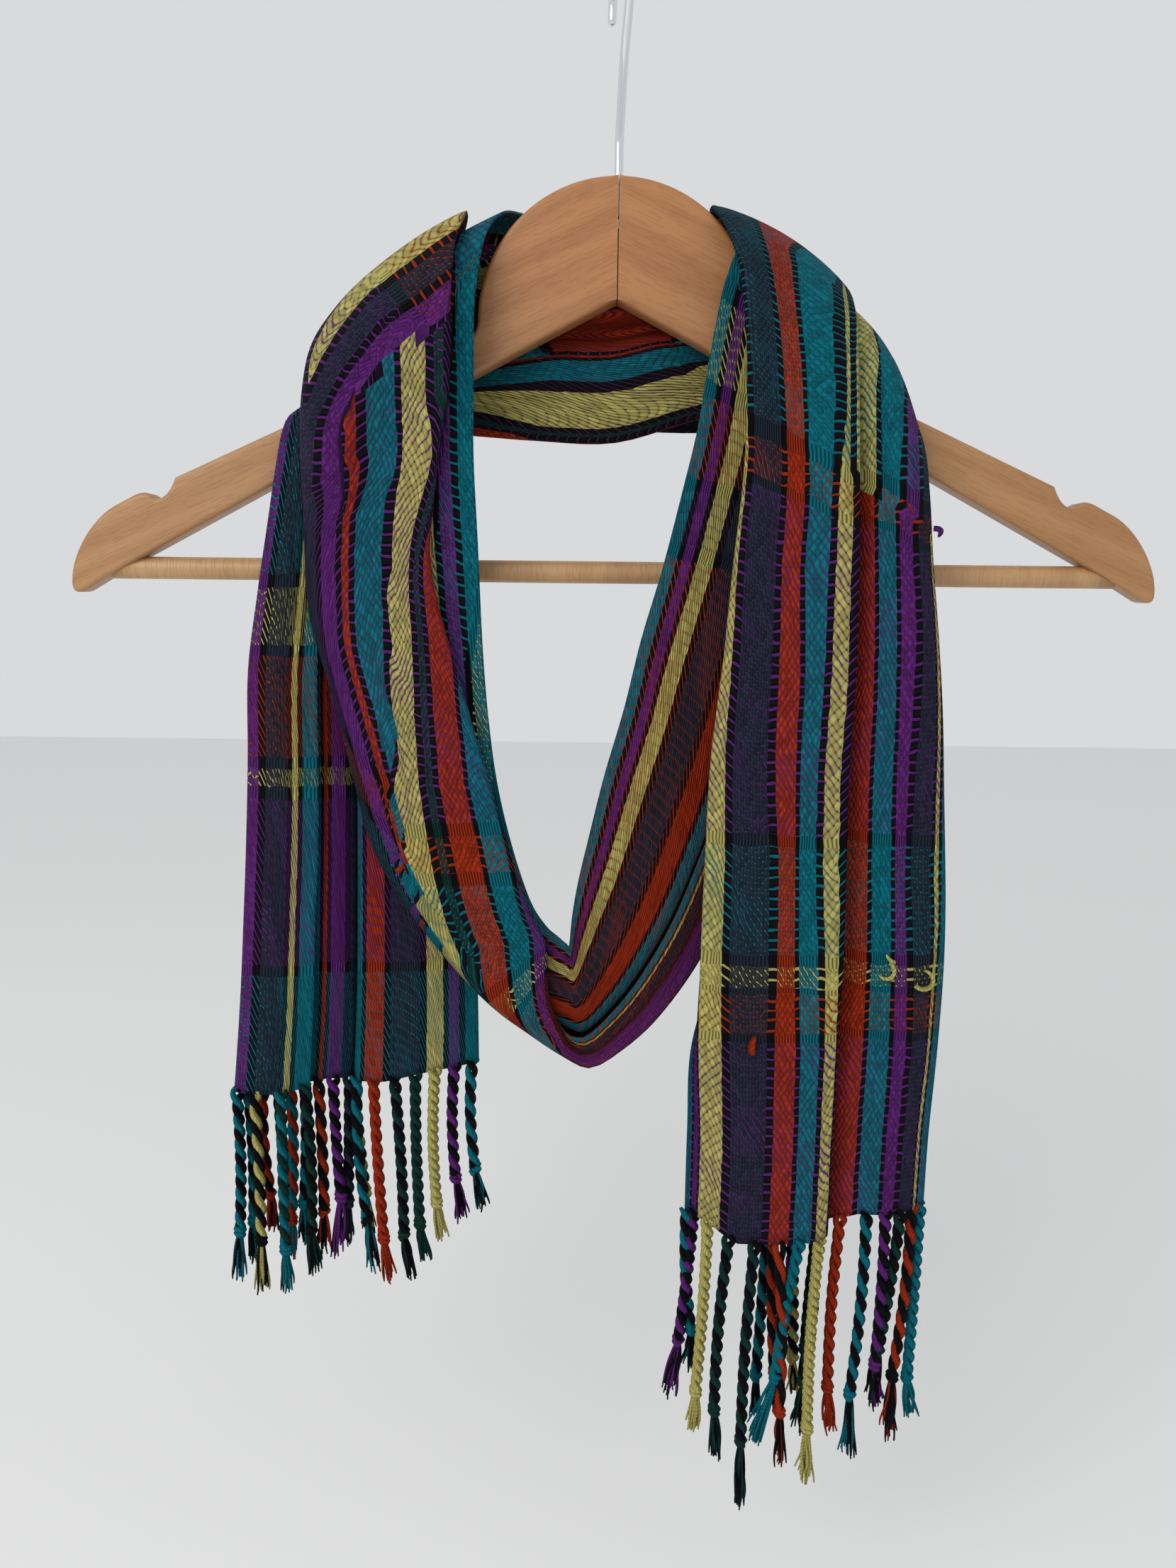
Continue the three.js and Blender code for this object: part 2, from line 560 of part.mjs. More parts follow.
function cordRings(root, one) {
  const knotZ = root.z - one.twist;
  const at = (share, radius) => ({
    x: root.x + one.knotX * share,
    y: root.y + one.knotY * share,
    z: mix(root.z, knotZ, share),
    radius,
  });
  const below = (share, radius) => ({
    x: root.x + mix(one.knotX, one.tipX, share),
    y: root.y + one.knotY,
    z: knotZ - one.tassel * share,
    radius,
  });
  return [
    at(0, CORD_RADIUS * 0.6), at(0.06, CORD_RADIUS), at(0.94, CORD_RADIUS),
    at(1, CORD_RADIUS * 1.7), below(0.2, CORD_RADIUS * 1.1), below(0.6, CORD_RADIUS * 1.7),
    below(1, CORD_RADIUS * 1.3),
  ];
}

// The place on a hem's line for a point u over the cloth's width.
function placeOnHem(line, lips, u) {
  const next = Math.max(1, lips.findIndex((one) => one.u >= u));
  const place = next - 1 + (u - lips[next - 1].u) / (lips[next].u - lips[next - 1].u);
  const i = Math.max(1, PLACES.findIndex((p) => p >= place));
  return line[i - 1].clone().lerp(line[i], (place - PLACES[i - 1]) / (PLACES[i] - PLACES[i - 1]));
}

function fringe(name, line, normals, lips, cords) {
  const top = line.map((p) => p.clone().setZ(p.z - SEAM));
  const bottom = line.map((p) => p.clone().setZ(p.z - SEAM - STRIP_DROP));
  let solid = solidOf(wall([top, bottom], [normals, normals], CLOTH));
  for (const one of cords) {
    const root = placeOnHem(line, lips, one.u);
    root.z -= SEAM + STRIP_DROP * 0.8;
    solid = solid.add(solidOf(squareTube(cordRings(root, one))));
  }
  return named(name, 'fringe', geometryOf(solid));
}

// ---- hanger ----------------------------------------------------------------------------
// Outline of the right arm in the hanger's plane; the left arm is its mirror image.
function armOutline() {
  const shape = new THREE.Shape();
  const edge = SEAM / 2;
  const endTop = ARM_ROOT_TOP - (ARM_END_X - ARM_ROOT_X) * ARM_SLOPE;
  const join = Math.atan2(ARM_ROOT_TOP - HEAD_CENTRE, ARM_ROOT_X);
  const top = Math.acos(edge / HEAD_RADIUS);
  shape.moveTo(edge, HEAD_UNDER);
  shape.lineTo(edge, HEAD_CENTRE + HEAD_RADIUS * Math.sin(top));
  shape.absarc(0, HEAD_CENTRE, HEAD_RADIUS, top, join + 0.12, true);
  const lineAt = (x) => ARM_ROOT_TOP - (x - ARM_ROOT_X) * ARM_SLOPE;
  shape.quadraticCurveTo(ARM_ROOT_X - 1.5, lineAt(ARM_ROOT_X), ARM_ROOT_X + 8, lineAt(ARM_ROOT_X + 8));
  shape.lineTo(NOTCH_X - NOTCH_RADIUS, lineAt(NOTCH_X - NOTCH_RADIUS));
  shape.quadraticCurveTo(
    NOTCH_X - 3, lineAt(NOTCH_X) - NOTCH_RADIUS * 0.9,
    NOTCH_X + 2, lineAt(NOTCH_X + 2) - NOTCH_RADIUS * 0.7,
  );
  shape.quadraticCurveTo(
    NOTCH_X + 5, lineAt(NOTCH_X + 5) + 1,
    NOTCH_X + 11, lineAt(NOTCH_X + 11) + 0.5,
  );
  shape.lineTo(ARM_END_X, endTop);
  shape.bezierCurveTo(ARM_END_X + 10, endTop - 5, TIP_X, endTop - 20, TIP_X, TIP_HEIGHT + 4);
  shape.quadraticCurveTo(TIP_X, TIP_HEIGHT - 1, TIP_X - 5, TIP_HEIGHT + 1);
  shape.lineTo(ARM_END_X, HEAD_UNDER - ARM_END_X * UNDER_SLOPE - 3);
  shape.lineTo(ARM_ROOT_X, HEAD_UNDER - ARM_ROOT_X * UNDER_SLOPE);
  return shape;
}

function cylinderAlong(radius, from, to, sides) {
  const axis = to.clone().sub(from);
  const geometry = new THREE.CylinderGeometry(radius, radius, axis.length(), sides);
  geometry.applyQuaternion(new THREE.Quaternion().setFromUnitVectors(
    new THREE.Vector3(0, 1, 0), axis.clone().normalize(),
  ));
  const middle = from.clone().add(to).multiplyScalar(0.5);
  return geometry.translate(middle.x, middle.y, middle.z);
}

function arm(name, side) {
  const board = new THREE.ExtrudeGeometry(armOutline(), {
    depth: BOARD - 2 * BOARD_ROUND,
    bevelThickness: BOARD_ROUND,
    bevelSize: BOARD_ROUND,
    bevelOffset: -BOARD_ROUND,
    bevelSegments: 1,
    curveSegments: 7,
  });
  board.rotateX(Math.PI / 2).translate(0, BOARD / 2 - BOARD_ROUND, 0).scale(side, 1, 1);
  const barEnd = side * (BAR_HALF_LENGTH + SEAM);
  const barHole = cylinderAlong(
    BAR_RADIUS + SEAM, new THREE.Vector3(side * 120, 0, BAR_HEIGHT),
    new THREE.Vector3(barEnd, 0, BAR_HEIGHT), 20,
  );
  const socketTop = HEAD_CENTRE + HEAD_RADIUS;
  const hookHole = cylinderAlong(
    WIRE_RADIUS + SEAM, new THREE.Vector3(0, 0, socketTop - HOOK_SOCKET - SEAM),
    new THREE.Vector3(0, 0, socketTop + 5), 16,
  );
  const solid = solidOf(board).subtract(solidOf(barHole)).subtract(solidOf(hookHole));
  return named(name, 'wood', geometryOf(solid));
}

function bar() {
  return named('hanger_bar', 'wood', cylinderAlong(
    BAR_RADIUS, new THREE.Vector3(-BAR_HALF_LENGTH, 0, BAR_HEIGHT),
    new THREE.Vector3(BAR_HALF_LENGTH, 0, BAR_HEIGHT), 20,
  ));
}

// The hook: a straight shank, a bend out to the front, and three quarters of a circle over the
// rail to a tip behind.
function hookPath() {
  const centre = -(HOOK_RADIUS - WIRE_RADIUS);
  const socket = HEAD_CENTRE + HEAD_RADIUS - HOOK_SOCKET;
  const inPlane = [[0, socket], [0, socket + 12], [0, socket + 24], [1.2, socket + 31]];
  inPlane.push([HOOK_RADIUS * 0.42, centre - HOOK_RADIUS * 1.18]);
  const sweep = { from: -42, to: 184, steps: 12 };
  for (let i = 0; i <= sweep.steps; i += 1) {
    const angle = THREE.MathUtils.degToRad(mix(sweep.from, sweep.to, i / sweep.steps));
    inPlane.push([HOOK_RADIUS * Math.cos(angle), centre + HOOK_RADIUS * Math.sin(angle)]);
  }
  const turn = THREE.MathUtils.degToRad(HOOK_TURN);
  return new THREE.CatmullRomCurve3(inPlane.map(([s, z]) =>
    new THREE.Vector3(s * Math.cos(turn), -s * Math.sin(turn), z)));
}

function hook() {
  const round = new THREE.Shape().absarc(0, 0, WIRE_RADIUS, 0, Math.PI * 2, false);
  return named('hanger_hook', 'chrome', new THREE.ExtrudeGeometry(round, {
    extrudePath: hookPath(), steps: 36, curveSegments: 5, bevelEnabled: false,
  }));
}

// ---- the whole object ------------------------------------------------------------------
const scarf = new THREE.Group();
const surface = clothSurface();
for (const span of surface.spans) {
  scarf.add(named(span.name, 'cloth', stretchGeometry(surface, span)));
}
const endLine = surface.grid.length - 1;
scarf.add(fringe(
  'fringe_right', surface.grid[0], surface.normals[0], TAIL_RIGHT[0].lips, FRINGE_RIGHT,
));
scarf.add(fringe(
  'fringe_left', surface.grid[endLine], surface.normals[endLine],
  TAIL_LEFT[TAIL_LEFT.length - 1].lips, FRINGE_LEFT,
));
scarf.add(arm('hanger_left_arm', -1), arm('hanger_right_arm', 1), bar(), hook());

export default scarf;
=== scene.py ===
# %% [markdown]
# # A striped scarf wound round a clothes hanger
# The scarf is one long strip of handwoven cloth. It starts at the right front, goes over the
# right arm of the hanger, behind the head, over the left arm, down the front as a loop, up again
# on the right, once more behind the head, and ends as the left tail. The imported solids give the
# size and place of everything. This script gives the cloth, the fringe and the wood their looks.

import math

import bpy
import numpy as np
from mathutils import Matrix, Vector


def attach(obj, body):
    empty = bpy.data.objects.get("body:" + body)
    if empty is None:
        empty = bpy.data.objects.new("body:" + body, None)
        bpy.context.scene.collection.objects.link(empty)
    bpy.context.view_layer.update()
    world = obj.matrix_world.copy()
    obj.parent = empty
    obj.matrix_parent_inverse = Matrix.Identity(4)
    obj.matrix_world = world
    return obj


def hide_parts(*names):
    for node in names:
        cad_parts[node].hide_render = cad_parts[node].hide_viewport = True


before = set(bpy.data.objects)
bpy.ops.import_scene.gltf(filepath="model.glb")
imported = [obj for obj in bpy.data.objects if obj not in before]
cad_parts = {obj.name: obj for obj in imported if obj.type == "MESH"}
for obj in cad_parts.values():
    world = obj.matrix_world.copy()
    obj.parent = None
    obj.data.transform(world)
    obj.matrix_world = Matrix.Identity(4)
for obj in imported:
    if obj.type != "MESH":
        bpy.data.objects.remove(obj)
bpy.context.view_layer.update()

# %% [markdown]
# ## Camera
# The scarf is looked at from half a metre away, a little from above, so the nearer right side
# looks larger. A camera is a place, a turn and a lens. The turn is written as two simple turns,
# a tilt and a small roll, because that is easier to correct than three mixed angles.

# %% Place the camera
LENS = 27.0
CAMERA_PLACE = (-0.0095, -0.4904, -0.242)
CAMERA_TILT = math.radians(80.5)      # 90 would look level
CAMERA_ROLL = math.radians(0.6)

camera_data = bpy.data.cameras.new("camera")
camera_data.lens = LENS
camera_data.clip_start = 0.01
camera = bpy.data.objects.new("camera", camera_data)
turn = Matrix.Rotation(CAMERA_TILT, 4, "X") @ Matrix.Rotation(CAMERA_ROLL, 4, "Z")
camera.matrix_world = Matrix.Translation(CAMERA_PLACE) @ turn
bpy.context.collection.objects.link(camera)
bpy.context.scene.camera = camera
print("camera at", CAMERA_PLACE)

# %% [markdown]
# ## Meshes from arrays
# Every new piece here is worked out with numpy and put into a mesh in one go. A closed mesh whose
# faces point inwards looks black from some sides, so the helper measures the signed volume, which
# is negative when a shape is inside out, and turns the faces round.

# %% A helper that turns arrays into a piece
MM = 0.001


def signed_volume(points, quads):
    """A sixth of the sum of a . (b x c) over the triangles of each face, from the middle."""
    centred = points - points.mean(axis=0)
    a, b, c, d = (centred[quads[:, k]] for k in range(4))
    first = (a * np.cross(b, c)).sum()
    second = (a * np.cross(c, d)).sum()
    return float(first + second) / 6


def corners_of(mesh):
    """The point at each corner of each face, as one long array."""
    corner = np.empty(len(mesh.loops), dtype=np.int32)
    mesh.loops.foreach_get("vertex_index", corner)
    return corner


def make_piece(name, points, quads, caps, uv):
    """Points are in millimetres. Quads are rows of four corners, caps are longer rings that close
    the ends. uv gives two numbers for each point, also in millimetres."""
    quads = np.asarray(quads)
    caps = [list(ring) for ring in caps]
    if signed_volume(points, quads) < 0:
        quads = quads[:, ::-1]
        caps = [ring[::-1] for ring in caps]
    mesh = bpy.data.meshes.new(name)
    mesh.from_pydata((np.asarray(points) * MM).tolist(), [], quads.tolist() + caps)
    mesh.polygons.foreach_set("use_smooth", [True] * len(mesh.polygons))
    layer = mesh.uv_layers.new(name="surface")
    layer.data.foreach_set("uv", (uv[corners_of(mesh)] * MM).astype(np.float32).ravel())
    mesh.update()
    piece = bpy.data.objects.new(name, mesh)
    bpy.context.collection.objects.link(piece)
    print(name, len(points), "points", 2 * len(quads) + sum(len(r) - 2 for r in caps), "triangles")
    return piece


# %% [markdown]
# ## The form of the cloth
# Cloth that hangs in folds is easiest to describe by its cross-sections. A section runs over the
# cloth's width, from the selvage next to the neck to the outer one. Fourteen places on it, the
# lips, say how far over (a share of the way from an inner to an outer rail) and how far out (in
# millimetres) the cloth lies there. The rails are two points in space, so a row of the table is
# one section of the scarf. A cloth simulation could make folds too, but the loop is held by its
# own twist and by friction, which a simulation of a few seconds does not find again.

# %% Folded sections: u over the width, a towards the outer rail, d out from the rails' line
WIDTH = 176.0


def mix(start, end, share):
    """Start plus the share of the way to the end."""
    return start + (end - start) * share


def right_tail(tuck, pleat):
    """Neck-side margin turned under, a deep pleat in the middle."""
    return np.array([
        (0, tuck, -6), (9, tuck * 0.45, -5.5), (14.5, -0.005, -3), (19, 0.03, 0.5),
        (42, 0.29, 2.5), (64, 0.53, 2), (69, 0.555, -1.5), (82, 0.52 - pleat * 0.4, -4.6),
        (96, 0.5 - pleat, -7), (101, 0.51 - pleat, -10.4), (123, 0.56, -9), (137, 0.68, -2),
        (156, 0.86, 1.5), (WIDTH, 1, -3)])


def left_tail(valley, margin):
    """Outer margin turned over to the front, beside a narrow valley."""
    return np.array([
        (0, 0, -1), (10, 0.09, 0.5), (27, 0.24, 1.5), (51, 0.47, 1.5), (57, 0.51, -1.5),
        (66, 0.525, -2 - valley), (76, 0.55, -1.5), (84, 0.62, 1), (96, 0.7, -1.5),
        (128, 0.88, -4), (147, 1, -1.5), (152, 0.995, 2.2), (163, 0.86, 5.5),
        (WIDTH, 1 - margin, 4.5)])


def loop(flap, roll, dip, pleat):
    """Cloth doubled lengthwise: a back layer, a fold at the outer rail, and a front layer whose
    free edge is turned in at `flap`. `pleat` gathers the back layer."""
    wide = min(1.0, (1 - flap) * 1.15)
    reach = 1 - flap
    return np.array([
        (0, 0, 0), (20, 0.22, 1 + pleat), (42, mix(0.48, 0.46, wide), 1 + pleat),
        (58, mix(0.7, 0.72, wide), -pleat), (72, 0.8 - 0.12 * pleat, -4.5 * pleat),
        (94, 0.88 - 0.5 * pleat, -7 * pleat), (100, 0.94 - 0.55 * pleat, -10.5 * pleat),
        (130, 0.99 - 0.1 * pleat, 1.5 - 12 * pleat), (142, 1, 4 - 9 * pleat),
        (148, mix(1, 0.9, wide), mix(0.5, 9 + 5 * roll, wide)),
        (151, mix(0.97, 0.72, wide), mix(3.4, 10.5 + 5 * roll, wide)),
        (153, mix(0.93, flap + reach * 0.42, wide), mix(4.4, 10 + 3 * roll - dip, wide)),
        (155, mix(0.87, flap + 0.01, wide), mix(5, 8.2, wide)),
        (WIDTH, mix(0.72, flap + reach * 0.28, wide), mix(5.6, 4.6, wide))])


GATHERED = loop(1, 0, 0, 1)               # no front layer left, back layer fully gathered
NECK = np.array([
    (0, 0.01, 2.5), (12, 0.02, 1.2), (27, 0.12, 0.4), (48, 0.25, 0), (60, 0.34, 2.5),
    (72, 0.38, 5.5), (80, 0.44, 3), (90, 0.5, 0.2), (104, 0.66, 0), (116, 0.85, 0.3),
    (126, 0.98, 1.6), (130, 0.995, 4.5), (145, 0.85, 8.5), (WIDTH, 0.5, 9.5)])
print("lips in a section", len(NECK))

# %% [markdown]
# ## The chain of sections
# The rows follow the scarf from its right hem to its left hem. Each gives the inner and the outer
# rail (x, z, and y at both ends), the turn of the cloth's front about the rails' line (0 faces
# the viewer, 90 up, 180 backwards), how much of the lips' relief is left, a swell and the lips.

# %% Rows of the right tail and the outer neck band, in millimetres and degrees
RIGHT_OVER = (38, -95, 114, -166, 0, 0, 90, 0.45, 12, right_tail(0.12, 0.12))
LEFT_OVER = (-45, -98, -118, -162.5, 0, 0, 90, 0.75, 7, loop(0.1, 0.7, 0, 0))
LOOP_BOTTOM = (-16.5, -387, -8, -440, -25, -24, 0, 0.9, 0, GATHERED)
RIGHT_UNDER = (49, -107.5, 101, -158.5, 0, 0, 90, 0.4, 4, loop(1, 0, 0, 0.6))
LEFT_UNDER = (-61, -145, -126, -173.8, 0, 0, 90, 0.3, 0, left_tail(0, 0.3))


def stretch(folded, table):
    """Sections that are folded alike: the numbers after the ninth are those of the fold."""
    return [(*row[:9], folded(*row[9:])) for row in table]


# inner x, inner z, outer x, outer z, inner y, outer y, turn, relief, swell, lips or fold
TAIL_RIGHT = stretch(right_tail, [
    (38.5, -496, 132, -495, -40, -38, 0, 1, 1, -0.06, 0.2),
    (38.7, -463, 132.3, -463, -40, -38, 0, 1, 1, -0.06, 0.2),
    (37, -425, 133.8, -425, -40, -38, 0, 1, 1.5, -0.03, 0.22),
    (37.5, -385, 134.2, -388, -40, -38, 0, 1, 2, 0.08, 0.22),
    (38.4, -345, 132.3, -350, -40, -38, 0, 1, 2, 0.14, 0.24),
    (40, -305, 130, -318, -40, -38, 0, 1, 2, 0.16, 0.24),
    (44, -265, 128, -288, -41, -37, 0, 1, 2.5, 0.16, 0.24),
    (47, -228, 125, -259, -41, -36, 0, 1, 3, 0.16, 0.24),
    (49, -192, 122, -232, -41, -34, 0, 1, 3, 0.16, 0.22),
    (48.4, -154, 120, -206, -40, -31, 2, 0.95, 4, 0.14, 0.2),
    (46, -125, 119, -187, -32, -24, 18, 0.85, 7, 0.12, 0.16),
    (42, -106, 117, -174, -18, -13, 46, 0.65, 11, 0.12, 0.14)])
NECK_OUTER = [
    (34, -94, 111, -172, 17, 15, 135, 0.4, 8, mix(RIGHT_OVER[-1], NECK, 0.3)),
    (23, -95, 86, -177, 24, 22, 175, 0.6, 2, mix(RIGHT_OVER[-1], NECK, 0.7)),
    (9, -97, 42, -176, 21, 21, 180, 0.8, 0, NECK),
    (-4, -97, 0, -176, 20, 20, 180, 0.8, 0, NECK),
    (-17, -96, -42, -176, 21, 21, 180, 0.8, 0, NECK),
    (-27, -94, -85, -177, 23, 22, 175, 0.65, 2, mix(NECK, LEFT_OVER[-1], 0.3)),
    (-37, -94, -112, -172, 15, 14, 135, 0.6, 7, mix(NECK, LEFT_OVER[-1], 0.7)),
]
print("sections", len(TAIL_RIGHT), "and", len(NECK_OUTER))

# %% Rows of the loop, the inner neck band and the left tail
LOOP_LEFT = stretch(loop, [
    (-50.5, -110, -120, -177, -15, -16.5, 42, 0.8, 6, 0.1, 0.8, 1, 0),
    (-54, -134, -120, -193, -23, -22.5, 15, 0.85, 4, 0.1, 0.8, 3, 0),
    (-54.3, -162, -119.5, -210, -26, -24, 0, 0.9, 2, 0.12, 0.6, 4, 0),
    (-54.5, -192, -119.5, -227, -27, -25, 0, 0.9, 1, 0.16, 0.3, 2, 0),
    (-53, -226, -119.5, -246, -27, -25, 0, 0.9, 1, 0.2, 0, 0.5, 0),
    (-51.5, -262, -115.5, -268, -27, -25, 0, 0.9, 1, 0.16, 0, 0, 0),
    (-49.5, -290, -109, -293, -27, -25, 0, 0.9, 1, 0.1, 0, 0, 0),
    (-46, -318, -103, -320, -27, -25, 0, 0.9, 1, 0.03, 0, 0, 0),
    (-40, -345, -95, -347, -26, -25, 0, 0.9, 1, 0.01, 0, 0, 0),
    (-32.5, -368, -84, -368, -26, -25, 0, 0.9, 0.5, 0.01, 0, 0, 0.1),
    (-26, -379, -68, -391, -25, -25, 0, 0.9, 0, 0.04, 0, 0, 0.3),
    (-21, -383.5, -49, -413, -25, -25, 0, 0.9, 0, 0.14, 0, 0, 0.6),
    (-18.8, -385.5, -31, -427, -25, -25, 0, 0.9, 0, 0.36, 0, 0, 0.85),
    (-17.5, -386.5, -18, -436, -25, -24, 0, 0.9, 0, 0.66, 0, 0, 0.95)])
LOOP_RIGHT = [
    (-15.5, -376, 5, -433, -24, -23, 0, 0.9, 0, GATHERED),
    (-13, -360, 20, -419, -24, -22, 0, 0.9, 0, GATHERED),
    (-8.5, -340, 37, -394, -23, -21, 0, 0.85, 0, GATHERED),
    (-3, -317, 51, -362, -22, -21, 0, 0.8, 1, GATHERED),
    (4.5, -290, 64, -325, -22, -20, 0, 0.8, 1, GATHERED),
    (11, -262, 76, -287, -22, -20, 0, 0.8, 1, GATHERED),
    (19, -234, 86, -250, -21, -20, 0, 0.8, 1, GATHERED),
    (26, -205, 94, -220, -21, -20, 0, 0.75, 1, GATHERED),
    (31.6, -180, 99, -200, -20, -19, 0, 0.7, 1, loop(1, 0, 0, 0.95)),
    (35.5, -154, 102, -184, -18, -17, 5, 0.65, 2, loop(1, 0, 0, 0.9)),
    (40, -130, 103, -173, -15, -14, 15, 0.6, 3, loop(1, 0, 0, 0.8)),
    (44.5, -116, 102, -165, -11, -10.5, 42, 0.5, 4, loop(1, 0, 0, 0.7)),
]
NECK_INNER = [
    (46, -112, 99, -163.5, 10, 10, 140, 0.35, 2, mix(RIGHT_UNDER[-1], NECK, 0.3)),
    (31, -113, 73, -168, 9.5, 9.5, 178, 0.5, 0, mix(RIGHT_UNDER[-1], NECK, 0.75)),
    (9, -112, 34, -173, 7.6, 7.6, 180, 0.7, 0, NECK),
    (-4, -111, 0, -182.5, 7.6, 7.6, 180, 0.7, 0, NECK),
    (-17, -112, -32, -182, 7.6, 7.6, 180, 0.7, 0, NECK),
    (-32, -119, -64, -180, 7.8, 7.8, 178, 0.6, 0, mix(NECK, LEFT_UNDER[-1], 0.3)),
    (-47, -131, -96, -179, 9, 9, 170, 0.55, 0, mix(NECK, LEFT_UNDER[-1], 0.6)),
    (-58, -141, -120, -175.5, 9.5, 9.5, 140, 0.4, 0, mix(NECK, LEFT_UNDER[-1], 0.85)),
]
TAIL_LEFT = stretch(left_tail, [
    (-61.5, -150, -129, -179, -9.6, -9.6, 40, 0.4, 0, 1, 0.3),
    (-61, -171, -132, -194, -12.6, -12.6, 4, 0.7, 0, 2, 0.3),
    (-61, -206, -136, -217, -14, -13, 0, 1, 0.5, 3, 0.32),
    (-60, -241, -141, -245, -14, -13, 0, 1, 0.5, 3, 0.32),
    (-59, -276, -146, -277, -14, -13, 0, 1, 1, 3, 0.32),
    (-58, -311, -147.4, -312, -14, -13, 0, 1, 1, 3.5, 0.32),
    (-57, -346, -149.3, -347, -14, -13, 0, 1, 1, 3.5, 0.32),
    (-56, -380, -151.7, -382, -14, -13, 0, 1, 1, 3.5, 0.31),
    (-55.3, -413, -154.5, -418, -14, -13, 0, 1, 1, 3.5, 0.31),
    (-55, -443, -158.4, -455, -14, -13, 0, 1, 1, 3.5, 0.31)])
CHAIN = (TAIL_RIGHT + [RIGHT_OVER] + NECK_OUTER + [LEFT_OVER] + LOOP_LEFT + [LOOP_BOTTOM]
         + LOOP_RIGHT + [RIGHT_UNDER] + NECK_INNER + [LEFT_UNDER] + TAIL_LEFT)
FIRST_LOOP = len(TAIL_RIGHT) + 1 + len(NECK_OUTER)      # row of LEFT_OVER
LAST_LOOP = FIRST_LOOP + len(LOOP_LEFT) + 1             # row of LOOP_BOTTOM
print("sections", len(CHAIN))

# %% [markdown]
# ## From sections to a smooth surface
# Between the lips the section is a Catmull-Rom curve, which passes through every lip. Between the
# sections the surface is a Hermite curve whose slope at a section follows its two neighbours. Both
# are sums of a few arrays, so the whole surface is worked out at once.

# %% Points over the width of one section
COLUMNS = 92
LAST_LIP = 13
PLACES = np.linspace(0, LAST_LIP, COLUMNS)


def through_lips(values, places):
    """Half of (2b + (c-a)t + (2a-5b+4c-d)t^2 + (3b-a-3c+d)t^3) for the four lips a, b, c, d about
    each place."""
    count = len(values)
    left = np.minimum(places.astype(int), count - 2)
    t = (places - left)[:, None]
    a, b, c, d = (values[np.clip(left + k, 0, count - 1)] for k in (-1, 0, 1, 2))
    curve = 2 * b + (c - a) * t + (2 * a - 5 * b + 4 * c - d) * t**2
    return 0.5 * (curve + (3 * b - a - 3 * c + d) * t**3)


def section(row):
    """Inner rail plus the share of the way to the outer one, plus the lip's height and the swell
    along the direction out of the cloth's front."""
    xi, zi, xo, zo, yi, yo, turned, relief, swell, lips = row
    inner, outer = np.array([xi, yi, zi], float), np.array([xo, yo, zo], float)
    over = outer - inner
    along = over / np.linalg.norm(over)
    angle = math.radians(turned)
    out = np.array([0, -math.cos(angle), math.sin(angle)])
    out = out - along * out.dot(along)
    out /= np.linalg.norm(out)
    curve = through_lips(lips, PLACES)
    share = np.clip(curve[:, 1], 0, 1)
    height = curve[:, 2] * relief + swell * 4 * share * (1 - share)
    return inner + curve[:, 1:2] * over + height[:, None] * out


key_points = np.array([section(row) for row in CHAIN])
print("key points", key_points.shape)

# %% [markdown]
# ## Which stripe lies where
# Between two lips the width grows evenly with the length of the section, as it does in real
# cloth. In some sections the cloth has slid over its folds: down the left half of the loop the
# fold starts in a slate stripe and ends in a teal one, and a narrow crease beside the lime
# stripe swallows a few stripes. Over both shoulders the cloth turns on its way to the neck, so
# that the stripes run along the ridge. Tables give the width at a few places for those sections.

# %% Tables of widths
LIPS = np.arange(LAST_LIP + 1)
LIME_EDGE = 106.0
CREASE_PLACES = 0.08                      # how wide the crease beside the lime edge is
FOLD_LIP, FLAP_LIP = 8, 12
# u at the fold, place of the lime edge, hidden width, u at the inner fold
LOOP_WEAVE = [
    (62, None, 0, 68), (65, None, 0, 80), (62, 11.75, 14, 109), (64, 11.25, 8, 116),
    (67, 11.25, 0, 120), (69, 11.27, 0, 130), (72, 10.99, 0, 136), (73, 10.51, 8, 143),
    (71, 10.14, 15, 148), (70, 9.78, 22, 149), (71, 9.09, 28, 152), (104, None, 0, 154),
    (119, None, 0, 156), (130, None, 0, 157), (140, None, 0, 157), (142, None, 0, 155)]
# u down the right tail, whose neck-side stripes turn under, in its fifth section and in the eighth
TAIL_PLACES = [0, 1, 2, 3, 3.5, 4, 4.5, 5, 5.5, 6, 7, 8, 9, 10, 10.5, 11, 11.5, 12, 12.5, 13]
FLAT_TAIL = np.array([
    0, 9, 14.5, 19, 31.3, 42, 56, 64, 67.4, 69, 82, 96, 101, 123, 129.7, 137, 148, 156, 168.8,
    WIDTH])
LOW_TAIL = np.array([
    0, 9, 16, 20.5, 32.5, 43.5, 59.5, 66, 68, 69, 82, 96, 101, 123, 130.5, 138.5, 149.5, 161,
    167.5, 173])
HIGH_TAIL = np.array([
    0, 10, 20, 28, 39, 52.5, 61, 66.5, 68, 69, 82, 96, 101, 123, 131, 138.5, 148.5, 154.5, 162,
    170])
TAIL_WEAVE = {3: mix(FLAT_TAIL, LOW_TAIL, 0.5), 4: LOW_TAIL, 5: mix(LOW_TAIL, HIGH_TAIL, 0.33),
              6: mix(LOW_TAIL, HIGH_TAIL, 0.67), 7: HIGH_TAIL, 8: HIGH_TAIL}
